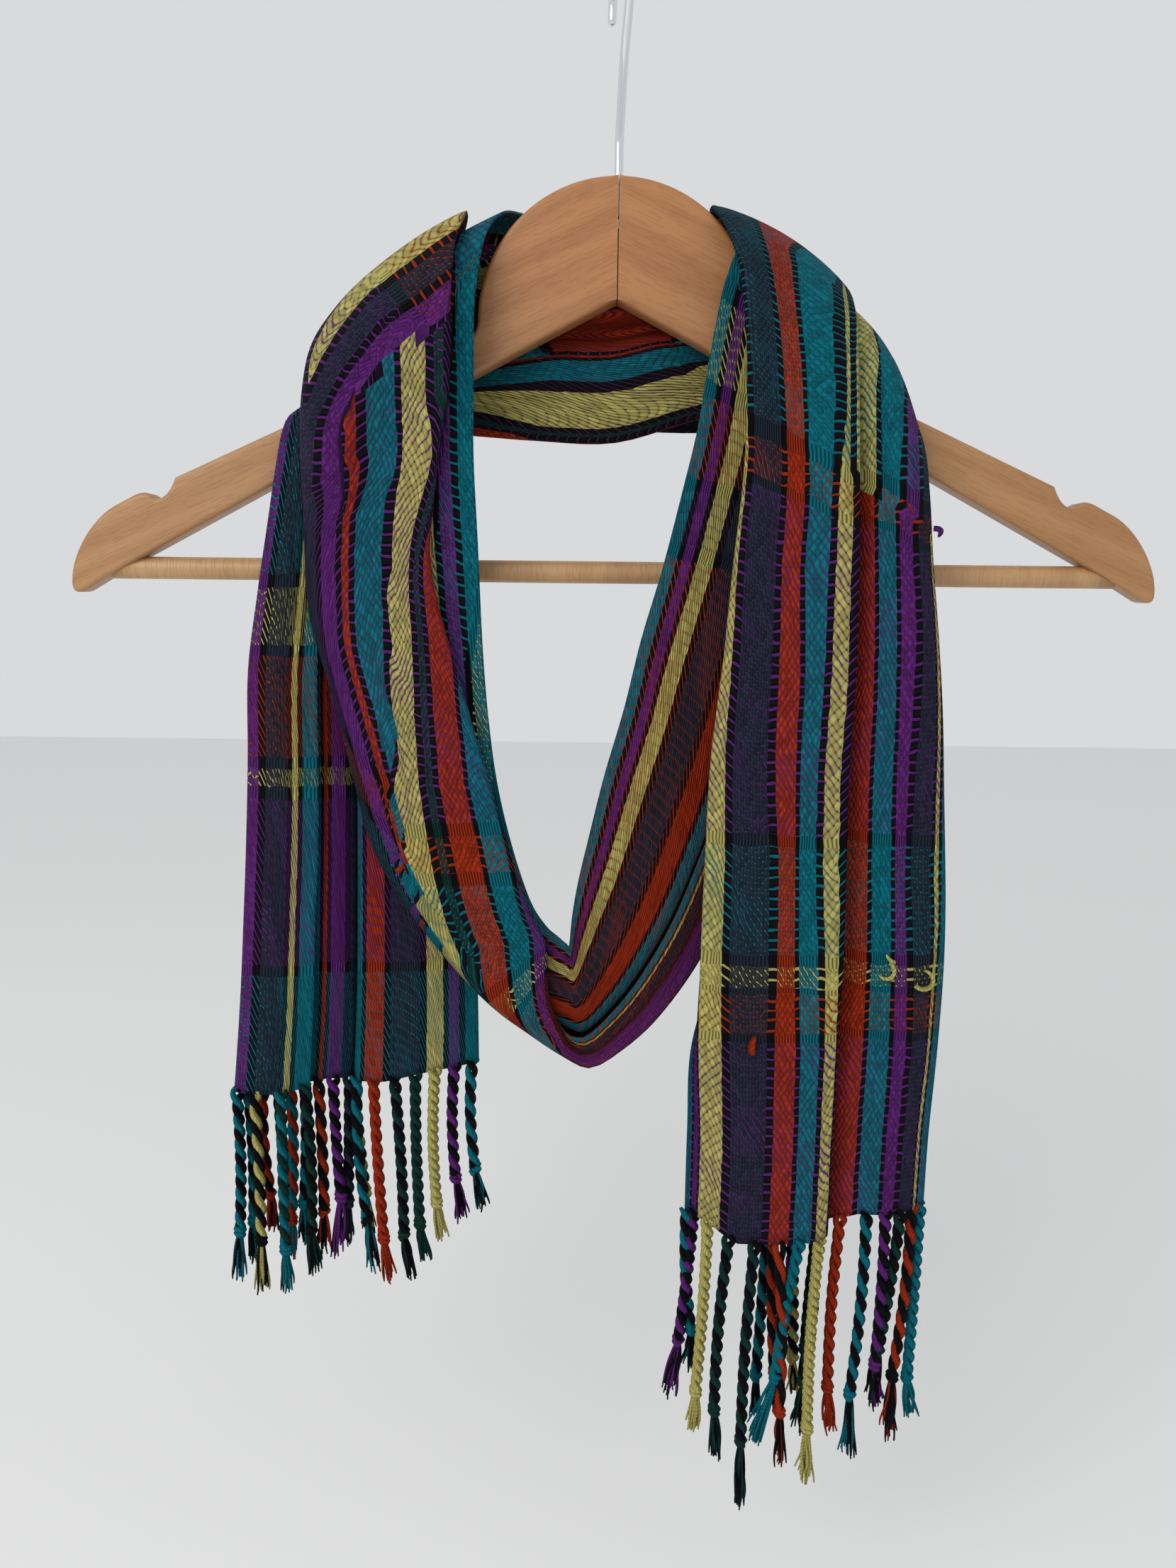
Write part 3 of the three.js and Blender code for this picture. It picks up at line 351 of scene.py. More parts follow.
# u where it goes over the shoulder: a few stripes have slid into the fold at each jump. The first
# row is used only above the block of rust weft, and only right of the first fold.
RIGHT_PLACES = [0, 2.3, 3, 3.5, 4, 4.5, 4.72, 4.85, 5.5, 10.5, 11.01, 11.13, 11.5, 12, 12.5, 13]
RIGHT_WEAVE = {
    8: [0, 24, 28, 39, 52.5, 61, 62, 104.5, 108, 111, 117.5, 138.5, 147, 152, 159, 170],
    9: [0, 26, 29, 42, 54, 60.5, 61.9, 104.5, 108, 111, 117.5, 138.5, 147, 151, 157, 165],
    10: [0, 26, 29, 45, 56, 60.5, 61.9, 104.5, 108, 110, 117, 138.5, 144, 151, 156, 163],
    11: [0, 29, 32, 46, 55.5, 60, 61.9, 104.5, 107, 110, 115, 138.5, 141, 148, 150, 153],
    12: [10, 34, 37, 43, 48, 54, 60, 104.5, 106, 107, 110, 138.5, 139.5, 142, 146, 150]}
SLID_ROW, SLID_FROM, SLID_PLACE = 8, 8.4, 4.78
NECK_PLACES = [0, 1, 2, 3, 3.5, 7.15, 7.3, 7.5, 8.05, 8.4, 9.55, 9.7, 10, 10.5, 11, 12, 13]
NECK_WIDTH = [0, 10, 22, 41, 43.5, 51, 91.5, 93, 104, 106.5, 117, 119, 124, 126, 128, 150,
              WIDTH]
print("rows of widths", len(LOOP_WEAVE) + len(TAIL_WEAVE) + len(RIGHT_WEAVE))

# %% Width of the cloth along each section


def spread(points, before, after, places, widths):
    """u at the places given, and in between in step with the section's length, which is measured
    square to the scarf's run."""
    run = after - before
    run /= np.linalg.norm(run, axis=1)[:, None]
    step = np.linalg.norm(np.cross(np.diff(points, axis=0), (run[1:] + run[:-1]) / 2), axis=1)
    length = np.concatenate([[0], np.cumsum(step)])
    return np.interp(length, np.interp(places, PLACES, length), widths)


def loop_stops(fold_u, lime, hidden, flap_u):
    """Places and widths from one row of LOOP_WEAVE. Without a lime edge on the front layer the
    back layer keeps the share of its own lips."""
    if lime is None:
        back = GATHERED[:FOLD_LIP, 0] * fold_u / GATHERED[FOLD_LIP, 0]
        return [*LIPS[:FOLD_LIP], FOLD_LIP, FLAP_LIP, LAST_LIP], [*back, fold_u, flap_u, WIDTH]
    places = [0, FOLD_LIP, lime - CREASE_PLACES, lime, FLAP_LIP, LAST_LIP]
    return places, [0, fold_u, LIME_EDGE - hidden, LIME_EDGE, flap_u, WIDTH]


def stops_of(i):
    """Places and widths for section i, from its table or else from its own lips."""
    if FIRST_LOOP <= i <= LAST_LOOP:
        return loop_stops(*LOOP_WEAVE[i - FIRST_LOOP])
    if i in TAIL_WEAVE:
        return TAIL_PLACES, TAIL_WEAVE[i]
    if i in RIGHT_WEAVE:
        return RIGHT_PLACES, RIGHT_WEAVE[i]
    return LIPS, CHAIN[i][-1][:, 0]


key_u = np.empty(key_points.shape[:2])
last_row = len(CHAIN) - 1
for i, points in enumerate(key_points):
    before, after = key_points[max(0, i - 1)], key_points[min(last_row, i + 1)]
    key_u[i] = spread(points, before, after, *stops_of(i))
neck_u = np.interp(PLACES, NECK_PLACES, NECK_WIDTH)
LAST_UNDER = len(CHAIN) - len(TAIL_LEFT) - 1            # row of LEFT_UNDER
FIRST_UNDER = LAST_UNDER - len(NECK_INNER) - 1          # row of RIGHT_UNDER
# first section, last section, and the share of the neck's widths in those between them
for first, last, shares in (
        (len(TAIL_RIGHT), FIRST_LOOP, (0.3, 0.7, 1, 1, 1, 0.7, 0.3)),
        (FIRST_UNDER, LAST_UNDER, (0.3, 0.75, 1, 1, 1, 0.7, 0.4, 0.15))):
    for k, share in enumerate(shares):
        side = first if k < len(shares) / 2 else last
        key_u[first + 1 + k] = mix(key_u[side], neck_u, share)
print("u at the loop's fold", np.round(
    key_u[FIRST_LOOP:LAST_LOOP + 1, np.argmin(abs(PLACES - FOLD_LIP))]))

# %% [markdown]
# ## Rows between the sections
# The surface follows a Hermite curve from one section to the next, because straight pieces would
# show a kink at every section. The rows stand a few millimetres apart, close enough for the
# creases. The width goes evenly from section to section.

# %% Surface points, width and length
ROW_STEP = 4.4                            # distance between rows


def hermite(values, gaps, i, t):
    """Cubic from row i to i+1 whose end slopes are the differences across the neighbours, scaled
    by the share that this gap has in them."""
    p, q = values[i], values[i + 1]
    slope_p = (q - values[i - 1]) * gaps[i] / (gaps[i - 1] + gaps[i]) if i > 0 else q - p
    last = len(values) - 2
    slope_q = (values[i + 2] - p) * gaps[i] / (gaps[i + 1] + gaps[i]) if i < last else q - p
    t = t.reshape((-1,) + (1,) * p.ndim)
    return ((2 * t**3 - 3 * t**2 + 1) * p + (t**3 - 2 * t**2 + t) * slope_p
            + (3 * t**2 - 2 * t**3) * q + (t**3 - t**2) * slope_q)


gaps = np.linalg.norm(np.diff(key_points, axis=0), axis=2).mean(axis=1)
k = SLID_ROW
slid_u = spread(key_points[k], key_points[k - 1], key_points[k + 1], RIGHT_PLACES, RIGHT_WEAVE[k])
unslid_u = spread(key_points[k + 1], key_points[k], key_points[k + 2], TAIL_PLACES, HIGH_TAIL)
parts, widths, row_of = [], [], []
for i, gap in enumerate(gaps):
    count = max(3, round(gap / ROW_STEP))
    t = np.arange(count) / count
    parts.append(hermite(key_points, gaps, i, t))
    share = t[:, None]
    width = mix(key_u[i], key_u[i + 1], share)
    if i == SLID_ROW:
        below, above = mix(key_u[i], unslid_u, share), mix(slid_u, key_u[i + 1], share)
        slid = np.where(i + share > SLID_FROM, above, below)
        width = np.where(PLACES > SLID_PLACE, slid, width)
    widths.append(width)
    row_of.append(i + t)
cloth = np.concatenate(parts + [key_points[-1:]])
cloth_u = np.concatenate(widths + [key_u[-1:]])
row_of = np.concatenate(row_of + [[len(CHAIN) - 1]])
print("rows", len(cloth), "columns", COLUMNS)

# %% [markdown]
# ## The roll over the left shoulder
# On the left shoulder the fold of the loop forms a roll, and its stripes run along the ridge. The
# roll ends at an edge that overhangs the flat part of the cloth, whose stripes hang straight down.
# So on the roll the width grows from the ridge to that edge, and past the edge it is read off the
# straight stripes. The hidden part in between has slid under the roll.

# %% Width on the roll and on the cloth under it
RIDGE = np.array([
    (-33.7, -96.4), (-49.8, -100.3), (-64.2, -107.3), (-78, -117.2), (-97.1, -131.4),
    (-106.2, -144.5), (-112.3, -156.8), (-115.5, -169.4), (-117.5, -182.4), (-119.1, -208.7),
    (-120, -240)])
RIDGE_U = np.array([62.5, 62.5, 62.5, 62.5, 62.5, 62.5, 63, 66, 71, 73, 73])
ROLL_EDGE = np.array([
    (-30, -114), (-40.2, -118.9), (-50.5, -129.4), (-66.1, -144.9), (-81.5, -153.2),
    (-92, -165.9), (-98.7, -174.8), (-102.1, -183.7), (-102.4, -209.3), (-101.5, -240)])
ROLL_EDGE_U = 85.5
# x and u of the straight stripes
STRAIGHT = np.array([
    (-104, 85.5), (-101, 87.5), (-97.6, 90.5), (-93.5, 93), (-83, 104), (-80.5, 106.5),
    (-71.8, 117), (-63, 125), (-50, 128)])
ROLL_BEGINS, ROLL_FADES, ROLL_ENDS = 19.7, 23.0, 24.0      # in sections of the chain
ROLL_PLACES = (7.6, 12.1)


def nearest_on(line, x, z):
    """Shortest distance to the pieces of a bent line, and how far along it that place is."""
    start, step = line[:-1], np.diff(line, axis=0)
    away = np.stack([x, z], axis=-1)[..., None, :] - start
    share = np.clip((away * step).sum(-1) / (step * step).sum(-1), 0, 1)
    far = np.linalg.norm(away - share[..., None] * step, axis=-1)
    size = np.linalg.norm(step, axis=1)
    along = np.concatenate([[0], np.cumsum(size)[:-1]]) + share * size
    best = far.argmin(axis=-1)[..., None]
    return (np.take_along_axis(far, best, -1)[..., 0],
            np.take_along_axis(along, best, -1)[..., 0])


near = (row_of > ROLL_BEGINS) & (row_of < ROLL_ENDS)
front = (PLACES > ROLL_PLACES[0]) & (PLACES < ROLL_PLACES[1])
patch = np.ix_(near, front)
x, z = cloth[:, :, 0][patch], cloth[:, :, 2][patch]
from_ridge, along_ridge = nearest_on(RIDGE, x, z)
to_edge, _ = nearest_on(ROLL_EDGE, x, z)
on_roll = x < np.interp(-z, -ROLL_EDGE[:, 1], ROLL_EDGE[:, 0])
# ridge's u plus the share of the way to the roll's edge, and past it that of the straight stripes
ridge_u = np.interp(-z, -RIDGE[:, 1], RIDGE_U)
rolled = ridge_u + (ROLL_EDGE_U - ridge_u) * from_ridge / (from_ridge + to_edge)
rolled = np.where(on_roll, rolled, np.interp(x, STRAIGHT[:, 0], STRAIGHT[:, 1]))
fade = np.clip((ROLL_ENDS - row_of[near]) / (ROLL_ENDS - ROLL_FADES), 0, 1)[:, None]
cloth_u[patch] = mix(cloth_u[patch], rolled, fade)
print("points on the roll", rolled.size, "u from", rolled.min().round(1), "to",
      rolled.max().round(1))

# %% Let the roll stand out over the cloth beside it
ROLL_RISE, RISE_FROM_EDGE, RISE_HALF = 1.8, 4, 4.5
ROLL_SINK, SINK_HALF = 1.6, 4
HIGHEST_ROW = 21.9                        # section where the roll stands out most
SIDE_FADE = 0.6                           # places over which it fades beside both folds

rise = ROLL_RISE * np.exp(-(((to_edge - RISE_FROM_EDGE) / RISE_HALF) ** 2))
lift = np.where(on_roll, rise, -ROLL_SINK * np.exp(-((to_edge / SINK_HALF) ** 2)))
lift *= np.clip(2.0 - np.abs(row_of[near] - HIGHEST_ROW), 0, 1)[:, None]
lift *= np.clip((FLAP_LIP - PLACES[front]) / SIDE_FADE, 0, 1)
lift *= np.clip((PLACES[front] - FOLD_LIP) / SIDE_FADE, 0, 1)
rolls_height = np.zeros(cloth_u.shape)
rolls_height[patch] = lift
print("roll stands out", lift.max().round(1), "mm")

# %% [markdown]
# ## Hems
# Both ends hang in shallow scallops, because the fringe pulls where a cord is knotted and the
# cloth between sags back. The drop of the hem fades out over the last few centimetres.

# %% Drop the two hems
# share over the section, drop
HEM_RIGHT = np.array([
    (0.02, 3), (0.1, 9), (0.16, 13), (0.36, 13), (0.46, 12), (0.52, 14), (0.6, 7), (0.7, 2),
    (0.9, 0.5), (1, 0)])
HEM_LEFT = np.array([
    (0.05, 0), (0.2, 1), (0.4, 3.5), (0.55, 1), (0.62, -0.5), (0.7, 1.5), (0.85, 3), (1, 2)])


def drop_hem(row, drops, fade):
    """Lowers each point by the table's drop at its share over the tail, times the fade."""
    xi, xo = row[0], row[2]
    drop = np.interp((cloth[:, :, 0] - xi) / (xo - xi), drops[:, 0], drops[:, 1])
    cloth[:, :, 2] -= drop * (fade**2 * (3 - 2 * fade))[:, None]


drop_hem(CHAIN[0], HEM_RIGHT, np.clip(1 - row_of, 0, 1))
drop_hem(CHAIN[-1], HEM_LEFT, np.clip(row_of - (len(CHAIN) - 2), 0, 1))
print("lowest hem point", round(float(cloth[:, :, 2].min()), 1))

# %% [markdown]
# ## Lengths along the cloth
# The weave needs the distance along each thread, so that its picks stay the same size where the
# cloth goes round a corner. The colour blocks of the weft need one number for a whole pick, from
# selvage to selvage. It is the mean distance over the outer two thirds of the width, plus a lead
# near the neck-side selvage, which takes the short way round and is further along.

# %% Distance along each thread, and the number of the pick
OUTER_PART = 60.0
# mean distance from the right hem, lead at the neck-side selvage, width over which it fades
LEAD = np.array([
    (0, 0, 176), (77, 0, 176), (160, 6, 176), (300, 17, 176), (380, 20, 176), (500, 0, 176),
    (640, 20, 60), (690, 215, 60), (762, 172, 60), (800, 150, 110), (961, 0, 110),
    (1800, 0, 176)])
# section of the chain, and how much longer the cloth's way is at the far end of that section,
# where the stripes run along a shoulder's ridge
RIGHT_TURN = np.array([
    (8, 0), (9, 5), (10, 18), (11, 38), (12, 60), (13, 45), (14, 20), (15, 0)])
LEFT_TURN = np.array([(17, 0), (18, 20), (19, 60), (19.7, 90), (20, 0)])
ROLL_START_PICK, UNDER_ROLL_PICK = 616.0, 684.0
MEET_PLACE = 8.5


def lengths(points, u):
    """Thread length: sum of the steps along a column plus the turn over the shoulders. Mean
    length: the same sum for the outer part. Pick: mean plus turn plus the faded lead."""
    step = np.linalg.norm(np.diff(points, axis=0), axis=2)
    own = np.concatenate([np.zeros((1, COLUMNS)), np.cumsum(step, axis=0)])
    outer = u[1:] >= OUTER_PART
    mean = np.concatenate([[0], np.cumsum((step * outer).sum(axis=1) / outer.sum(axis=1))])
    lead, fade = (np.interp(mean, LEAD[:, 0], LEAD[:, k])[:, None] for k in (1, 2))
    right, left = (np.interp(row_of, t[:, 0], t[:, 1])[:, None] for t in (RIGHT_TURN, LEFT_TURN))
    turn = right * (1 - PLACES / LAST_LIP)
    turn += left * np.interp(PLACES, [4, FOLD_LIP, FLAP_LIP], [0, 1, 0])
    return own + turn, mean, mean[:, None] + turn + lead * np.clip(1 - u / fade, 0, 1)


thread_length, mean_length, pick_place = lengths(cloth, cloth_u)
# on the roll the picks stand square to the ridge, and beside it the earlier ones are hidden;
# both lengths agree at one point on the roll's last row
meet = np.flatnonzero(near)[-1], np.flatnonzero(PLACES > MEET_PLACE)[0]
end = nearest_on(RIDGE, cloth[:, :, 0][meet], cloth[:, :, 2][meet])[1]
roll_thread = thread_length[meet] - end + along_ridge
thread_length[patch] = np.where(
    on_roll, mix(thread_length[patch], roll_thread, fade), thread_length[patch])
pick_place[patch] = np.where(
    on_roll, mix(pick_place[patch], ROLL_START_PICK + along_ridge, fade),
    np.maximum(pick_place[patch], UNDER_ROLL_PICK))
scarf_length = float(mean_length[-1])
print("length of the woven cloth", round(scarf_length), "mm")

# %% [markdown]
# ## Creases pressed into the cloth
# Hanging cloth is never smooth. Each line of the table is one soft trough or ridge, with its own
# place over the width and along the scarf, a lean, a half-width and a height. Troughs and ridges
# are bell curves across and fade in and out along, and a slow wave keeps them from looking ruled.

# %% Press the creases into the surface
SWAY, SWELLING = 1.5, 0.3                 # of a crease's line and of its height
# width u, start and end along the scarf, lean over that length, half-width, height
CREASES = [
    (30, 20, 150, 6, 9, 1.6), (50, 60, 230, -8, 7, -1.4), (24, 150, 300, 5, 8, 1.5),
    (140, 10, 120, 5, 6, -1.3), (153, 60, 240, -6, 7, 1.6), (38, 230, 350, 6, 7, -1.6),
    (146, 180, 330, 8, 6, -1.4), (165, 40, 180, 3, 5, 1.2), (60, 250, 380, -6, 6, 1.6),
    (96, 420, 600, 10, 8, 1.4), (40, 400, 560, -12, 9, -1.6), (126, 640, 760, 8, 6, -1.5),
    (116, 690, 830, -4, 7, 1.4), (146, 660, 800, 5, 5, 1.2), (98, 780, 900, 14, 6, -1.5),
    (132, 800, 930, 6, 6, 1.5), (12, 700, 860, 3, 6, 1.2), (16, 860, 960, -5, 5, -1.2),
    (60, 700, 900, 14, 10, 1.6), (30, 820, 940, -8, 8, -1.4), (20, 1010, 1130, 4, 6, 1.4),
    (36, 1060, 1200, -5, 7, -1.4), (12, 1150, 1250, 3, 5, 1.2), (80, 1000, 1180, 10, 9, 1.4),
    (60, 1320, 1470, 8, 8, 1.2), (100, 1300, 1440, -8, 8, -1.2), (30, 1540, 1700, 5, 8, 1.4),
    (44, 1620, 1780, -4, 7, -1.3), (92, 1530, 1660, 5, 7, -1.3), (104, 1640, 1780, -6, 8, 1.4),
    (124, 1560, 1740, 4, 8, -1.2), (158, 1600, 1760, 2, 5, 0.9), (14, 1650, 1780, 2, 6, 1.0)]


def front_normals(points):
    """Cross product of the directions over and along the cloth, turned to its front."""
    along = np.gradient(points, axis=0)
    over = np.gradient(points, axis=1)
    normal = np.cross(over, along)
    return normal / np.linalg.norm(normal, axis=2)[:, :, None]


def creased(points, u, length):
    """Adds height * exp(-((u - line) / half-width)^2) * sin^2 over the crease's length, and the
    roll's own height."""
    height = np.zeros(u.shape)
    for u0, start, end, lean, half, rise in CREASES:
        share = np.clip((length - start) / (end - start), 0, 1)[:, None]
        line = u0 + lean * share + SWAY * np.sin(share * 7 + u0)
        bell = np.exp(-(((u - line) / half) ** 2))
        swelling = 1 + SWELLING * np.sin(share * 11)
        height += rise * bell * np.sin(math.pi * share) ** 2 * swelling
    return points + (height + rolls_height)[:, :, None] * front_normals(points)


cloth = creased(cloth, cloth_u, mean_length)
print("creases", len(CREASES))

# %% [markdown]
# ## The cloth as a thin closed shell
# Two copies of the surface, one on each side, are joined along the selvages and hems. One shell
# for the whole scarf leaves no seams where the solids have to be cut into stretches.

# %% Build the scarf
THICKNESS = 1.1


def shell(points, thickness):
    """Front and back grids moved half the thickness along the normals, and a rim of quads."""
    rows, columns = points.shape[:2]
    out = front_normals(points) * thickness / 2
    both = np.concatenate([(points + out).reshape(-1, 3), (points - out).reshape(-1, 3)])
    front = np.arange(rows * columns).reshape(rows, columns)
    a, b, c, d = front[:-1, :-1], front[:-1, 1:], front[1:, 1:], front[1:, :-1]
    face = np.stack([a, b, c, d], axis=2).reshape(-1, 4)
    ring = np.concatenate([front[0], front[1:, -1], front[-1, -2::-1], front[-2:0:-1, 0]])
    nxt = np.roll(ring, -1)
    far = rows * columns
    rim = np.stack([ring, ring + far, nxt + far, nxt], axis=1)
    return both, np.concatenate([face, face[:, ::-1] + far, rim])


scarf_points, scarf_quads = shell(cloth, THICKNESS)
thread_uv = np.stack([cloth_u, thread_length], axis=2).reshape(-1, 2)
scarf = make_piece(
    "scarf_cloth", scarf_points, scarf_quads, (), np.concatenate([thread_uv, thread_uv]))

# %% Keep the stripes whole where one fold slides under another
U_JUMP = 9.0
# the black stripe beside the violet one comes this far on, as a painted shadow line along the
# roll's edge
PAINTED_SHADOW_STEP = 1.6


def unsqueezed(values, corners):
    """Values at each face's corners. Where u jumps inside a face, a corner well above the lowest
    u takes the mean of its neighbours below, or else the corner opposite, with u a little more
    and the furthest pick, so no run of stripes is squeezed into that face."""
    each = values[corners]
    u = each[..., 0]
    low, high = u.min(axis=1, keepdims=True), u.max(axis=1, keepdims=True)
    past = (u - low > U_JUMP / 2) & (high - low > U_JUMP)
    before, after = ~np.roll(past, 1, axis=1)[..., None], ~np.roll(past, -1, axis=1)[..., None]
    count = before.astype(int) + after
    kept = (np.roll(each, 1, axis=1) * before + np.roll(each, -1, axis=1) * after)
    kept = np.where(count > 0, kept / np.maximum(count, 1), np.roll(each, 2, axis=1))
    # painted shadow: the corners past a jump move 1.6 mm further over the width, so along the
    # roll's edge they show the black stripe as a dark line
    kept[..., 0] += PAINTED_SHADOW_STEP
    kept[..., 2] = each[..., 2].max(axis=1, keepdims=True)
    print("faces with a jump", past.any(axis=1).sum())
    return np.where(past[..., None], kept, each).reshape(-1, values.shape[1])


surface = np.concatenate([thread_uv, pick_place.reshape(-1, 1)], axis=1)
corners = corners_of(scarf.data).reshape(-1, 4)
surface = unsqueezed(np.concatenate([surface, surface]), corners) * MM
scarf.data.uv_layers["surface"].data.foreach_set(
    "uv", np.ascontiguousarray(surface[:, :2], dtype=np.float32).ravel())
pick_layer = scarf.data.attributes.new("pick_place", "FLOAT", "CORNER")
pick_layer.data.foreach_set("value", np.ascontiguousarray(surface[:, 2], dtype=np.float32))

# %% [markdown]
# ## Colours of the yarns
# Hand-dyed yarns are described once by name, in the usual screen notation, and turned into the
# linear values that a shader needs. The warp chart lists the stripes over the width, and the weft
# chart the blocks along the scarf. A "float" is a few millimetres in which no weft shows, because
# the weaver let the warp threads lie over the top before changing the colour.

# %% Yarns and the two charts
YARNS = {
    "teal": "#056473", "violet": "#57216a", "plum": "#3c1d38", "rust": "#922a10",
    "lime": "#ada45e", "slate": "#1f2734", "pine": "#0c302b", "ink": "#09090f",
}


def dyed(yarn):
    """Each of the three hex pairs as a share of 255, through the screen's transfer curve."""
    code = YARNS[yarn].lstrip("#")
    shares = np.array([int(code[k:k + 2], 16) for k in (0, 2, 4)]) / 255
    linear = np.where(shares <= 0.04045, shares / 12.92, ((shares + 0.055) / 1.055) ** 2.4)
    return tuple(float(x) for x in linear)


def with_gaps(blocks, filler):
    """Start and yarn of each block, and of the filler wherever a block ends before the next."""
    chart = []
    for (start, end, yarn), after in zip(blocks, blocks[1:] + [(None, None, None)]):
        chart.append((start, yarn))
        if after[0] not in (None, end):
            chart.append((end, filler))
    return chart


# start and end over the width; bundles of black warp, the "ink", lie in the gaps
WARP_CHART = with_gaps([
    (0, 6, "teal"), (8.5, 13.5, "violet"), (16, 24, "lime"), (27, 40, "slate"), (43, 51, "rust"),
    (53, 60, "teal"), (62, 66, "lime"), (69, 76, "slate"), (78.5, 85, "violet"),
    (87.5, 90.5, "rust"), (93, 104, "teal"), (106.5, 117, "lime"), (120, 123.5, "pine"),
    (126, 137, "rust"), (139, 148, "teal"), (150, 155, "violet"), (158, 166, "slate"),
    (167.5, 169.5, "lime"), (171, 176, "teal")], "ink")
# start and end along the scarf, from the right hem; the gaps are rows of floats
WEFT_CHART = with_gaps([
    (0, 83, "violet"), (87, 104, "rust"), (107, 116, "lime"), (120, 166, "teal"),
    (171, 294, "violet"), (298, 311, "rust"), (316, 445, "teal"), (450, 600, "plum"),
    (605, 632, "lime"), (632, 676, "rust"), (680, 863, "violet"), (868, 884, "rust"),
    (889, 938, "teal"), (942, 950, "lime"), (954, 1195, "rust"), (1200, 1222, "plum"),
    (1226, 1250, "rust"), (1255, 1272, "lime"), (1277, 1310, "teal"), (1315, 1514, "plum"),
    (1519, 1608, "teal"), (1613, 1636, "lime"), (1641, 1682, "rust"), (1686, 1694, "lime"),
    (1699, 1769, "violet"), (1774, 1860, "teal")], "float")
print("stripes", len(WARP_CHART), "blocks", len(WEFT_CHART))

# %% [markdown]
# ## Building materials from small pieces
# A node tree is easier to read when each calculation is one short call. `calc` places a Math node
# and returns its result, `blend` mixes two colours and `times` multiplies them. The mesh's own
# surface coordinates, noise and relief are needed by several materials, so they are helpers too.

# %% Node helpers


def put(tree, kind, **settings):
    node = tree.nodes.new(kind)
    for name, value in settings.items():
        setattr(node, name, value)
    return node


def feed(tree, socket, value):
    """Links a socket, or sets its number or colour."""
    if isinstance(value, bpy.types.NodeSocket):
        tree.links.new(value, socket)
    elif isinstance(value, tuple) and len(value) == 3 and socket.type == "RGBA":
        socket.default_value = (*value, 1.0)
    else:
        socket.default_value = value


def calc(tree, operation, *values, clamp=False):
    node = put(tree, "ShaderNodeMath", operation=operation, use_clamp=clamp)
    for socket, value in zip(node.inputs, values):
        feed(tree, socket, value)
    return node.outputs[0]


def blend(tree, share, first, second, how="MIX"):
    node = put(tree, "ShaderNodeMix", data_type="RGBA", blend_type=how)
    feed(tree, node.inputs["Factor"], share)
    feed(tree, node.inputs[6], first)
    feed(tree, node.inputs[7], second)
    return node.outputs[2]


def times(tree, first, second):
    return blend(tree, 1.0, first, second, "MULTIPLY")


def between(tree, value, low, high, start=0.0, end=1.0, soft=True):
    kind = "SMOOTHSTEP" if soft else "LINEAR"
    node = put(tree, "ShaderNodeMapRange", interpolation_type=kind)
    for socket, number in zip(node.inputs, (value, low, high, start, end)):
        feed(tree, socket, number)
    return node.outputs[0]


print("nodes can be placed, fed and mixed")

# %% Groups and materials


def new_group(name, takes, gives):
    """takes and gives list (name, socket type, starting value)."""
    group = bpy.data.node_groups.new(name, "ShaderNodeTree")
    for label, kind, start in takes:
        socket = group.interface.new_socket(label, in_out="INPUT", socket_type=kind)
        if start is not None:
            socket.default_value = start
    for label, kind in gives:
        group.interface.new_socket(label, in_out="OUTPUT", socket_type=kind)
    return group, put(group, "NodeGroupInput"), put(group, "NodeGroupOutput")


def use_group(tree, group, **values):
    node = put(tree, "ShaderNodeGroup", node_tree=group)
    for label, value in values.items():
        feed(tree, node.inputs[label.replace("_", " ")], value)
    return node


def new_material(name, **constants):
    """A Principled material. Values that are the same all over are set on its own sockets."""
    material = bpy.data.materials.new(name)
    material.use_nodes = True
    tree = material.node_tree
    shader = tree.nodes["Principled BSDF"]
    for label, value in constants.items():
        shader.inputs[label.replace("_", " ")].default_value = value
    return material, tree, shader


FLOAT, COLOUR, VECTOR = "NodeSocketFloat", "NodeSocketColor", "NodeSocketVector"
print("kinds of socket", FLOAT, COLOUR, VECTOR)

# %% Places, random numbers, noise and relief


def pair(tree, first, second):
    place = put(tree, "ShaderNodeCombineXYZ")
    feed(tree, place.inputs[0], first)
    feed(tree, place.inputs[1], second)
    return place


def dice(tree, first, second, third=None):
    """A random share from 0 to 1 that is always the same for the same numbers."""
    place = pair(tree, first, second)
    if third is not None:
        feed(tree, place.inputs[2], third)
    sizes = "2D" if third is None else "3D"
    node = put(tree, "ShaderNodeTexWhiteNoise", noise_dimensions=sizes)
    feed(tree, node.inputs["Vector"], place.outputs[0])
    return node.outputs[0]


def noise(tree, place, scale, detail=2.0):
    node = put(tree, "ShaderNodeTexNoise", noise_dimensions="2D")
    for label, value in (("Vector", place), ("Scale", scale), ("Detail", detail)):
        feed(tree, node.inputs[label], value)
    return node.outputs[0]


def split(tree, place):
    """The three numbers of a place."""
    node = put(tree, "ShaderNodeSeparateXYZ")
    feed(tree, node.inputs[0], place)
    return node.outputs


def surface_place(tree):
    """The mesh's own coordinates, in metres over and along the surface."""
    return put(tree, "ShaderNodeUVMap", uv_map="surface").outputs[0]


def emboss(tree, shader, height, distance):
    relief = put(tree, "ShaderNodeBump")
    feed(tree, relief.inputs["Distance"], distance)
    feed(tree, relief.inputs["Height"], height)
    feed(tree, shader.inputs["Normal"], relief.outputs[0])


print("node helpers ready")

# %% [markdown]
# ## Charts as bands of colour
# A stripe chart is a row of hard-edged bands, which a constant Color Ramp draws. One ramp holds at
# most 32 stops and is stored in 256 steps, so a long chart is cut into short ramps, each over its
# own stretch, and the stretches are switched by a comparison. The ramp's alpha carries a mark.

# %% Bands from a chart
RAMP_STOPS = 10


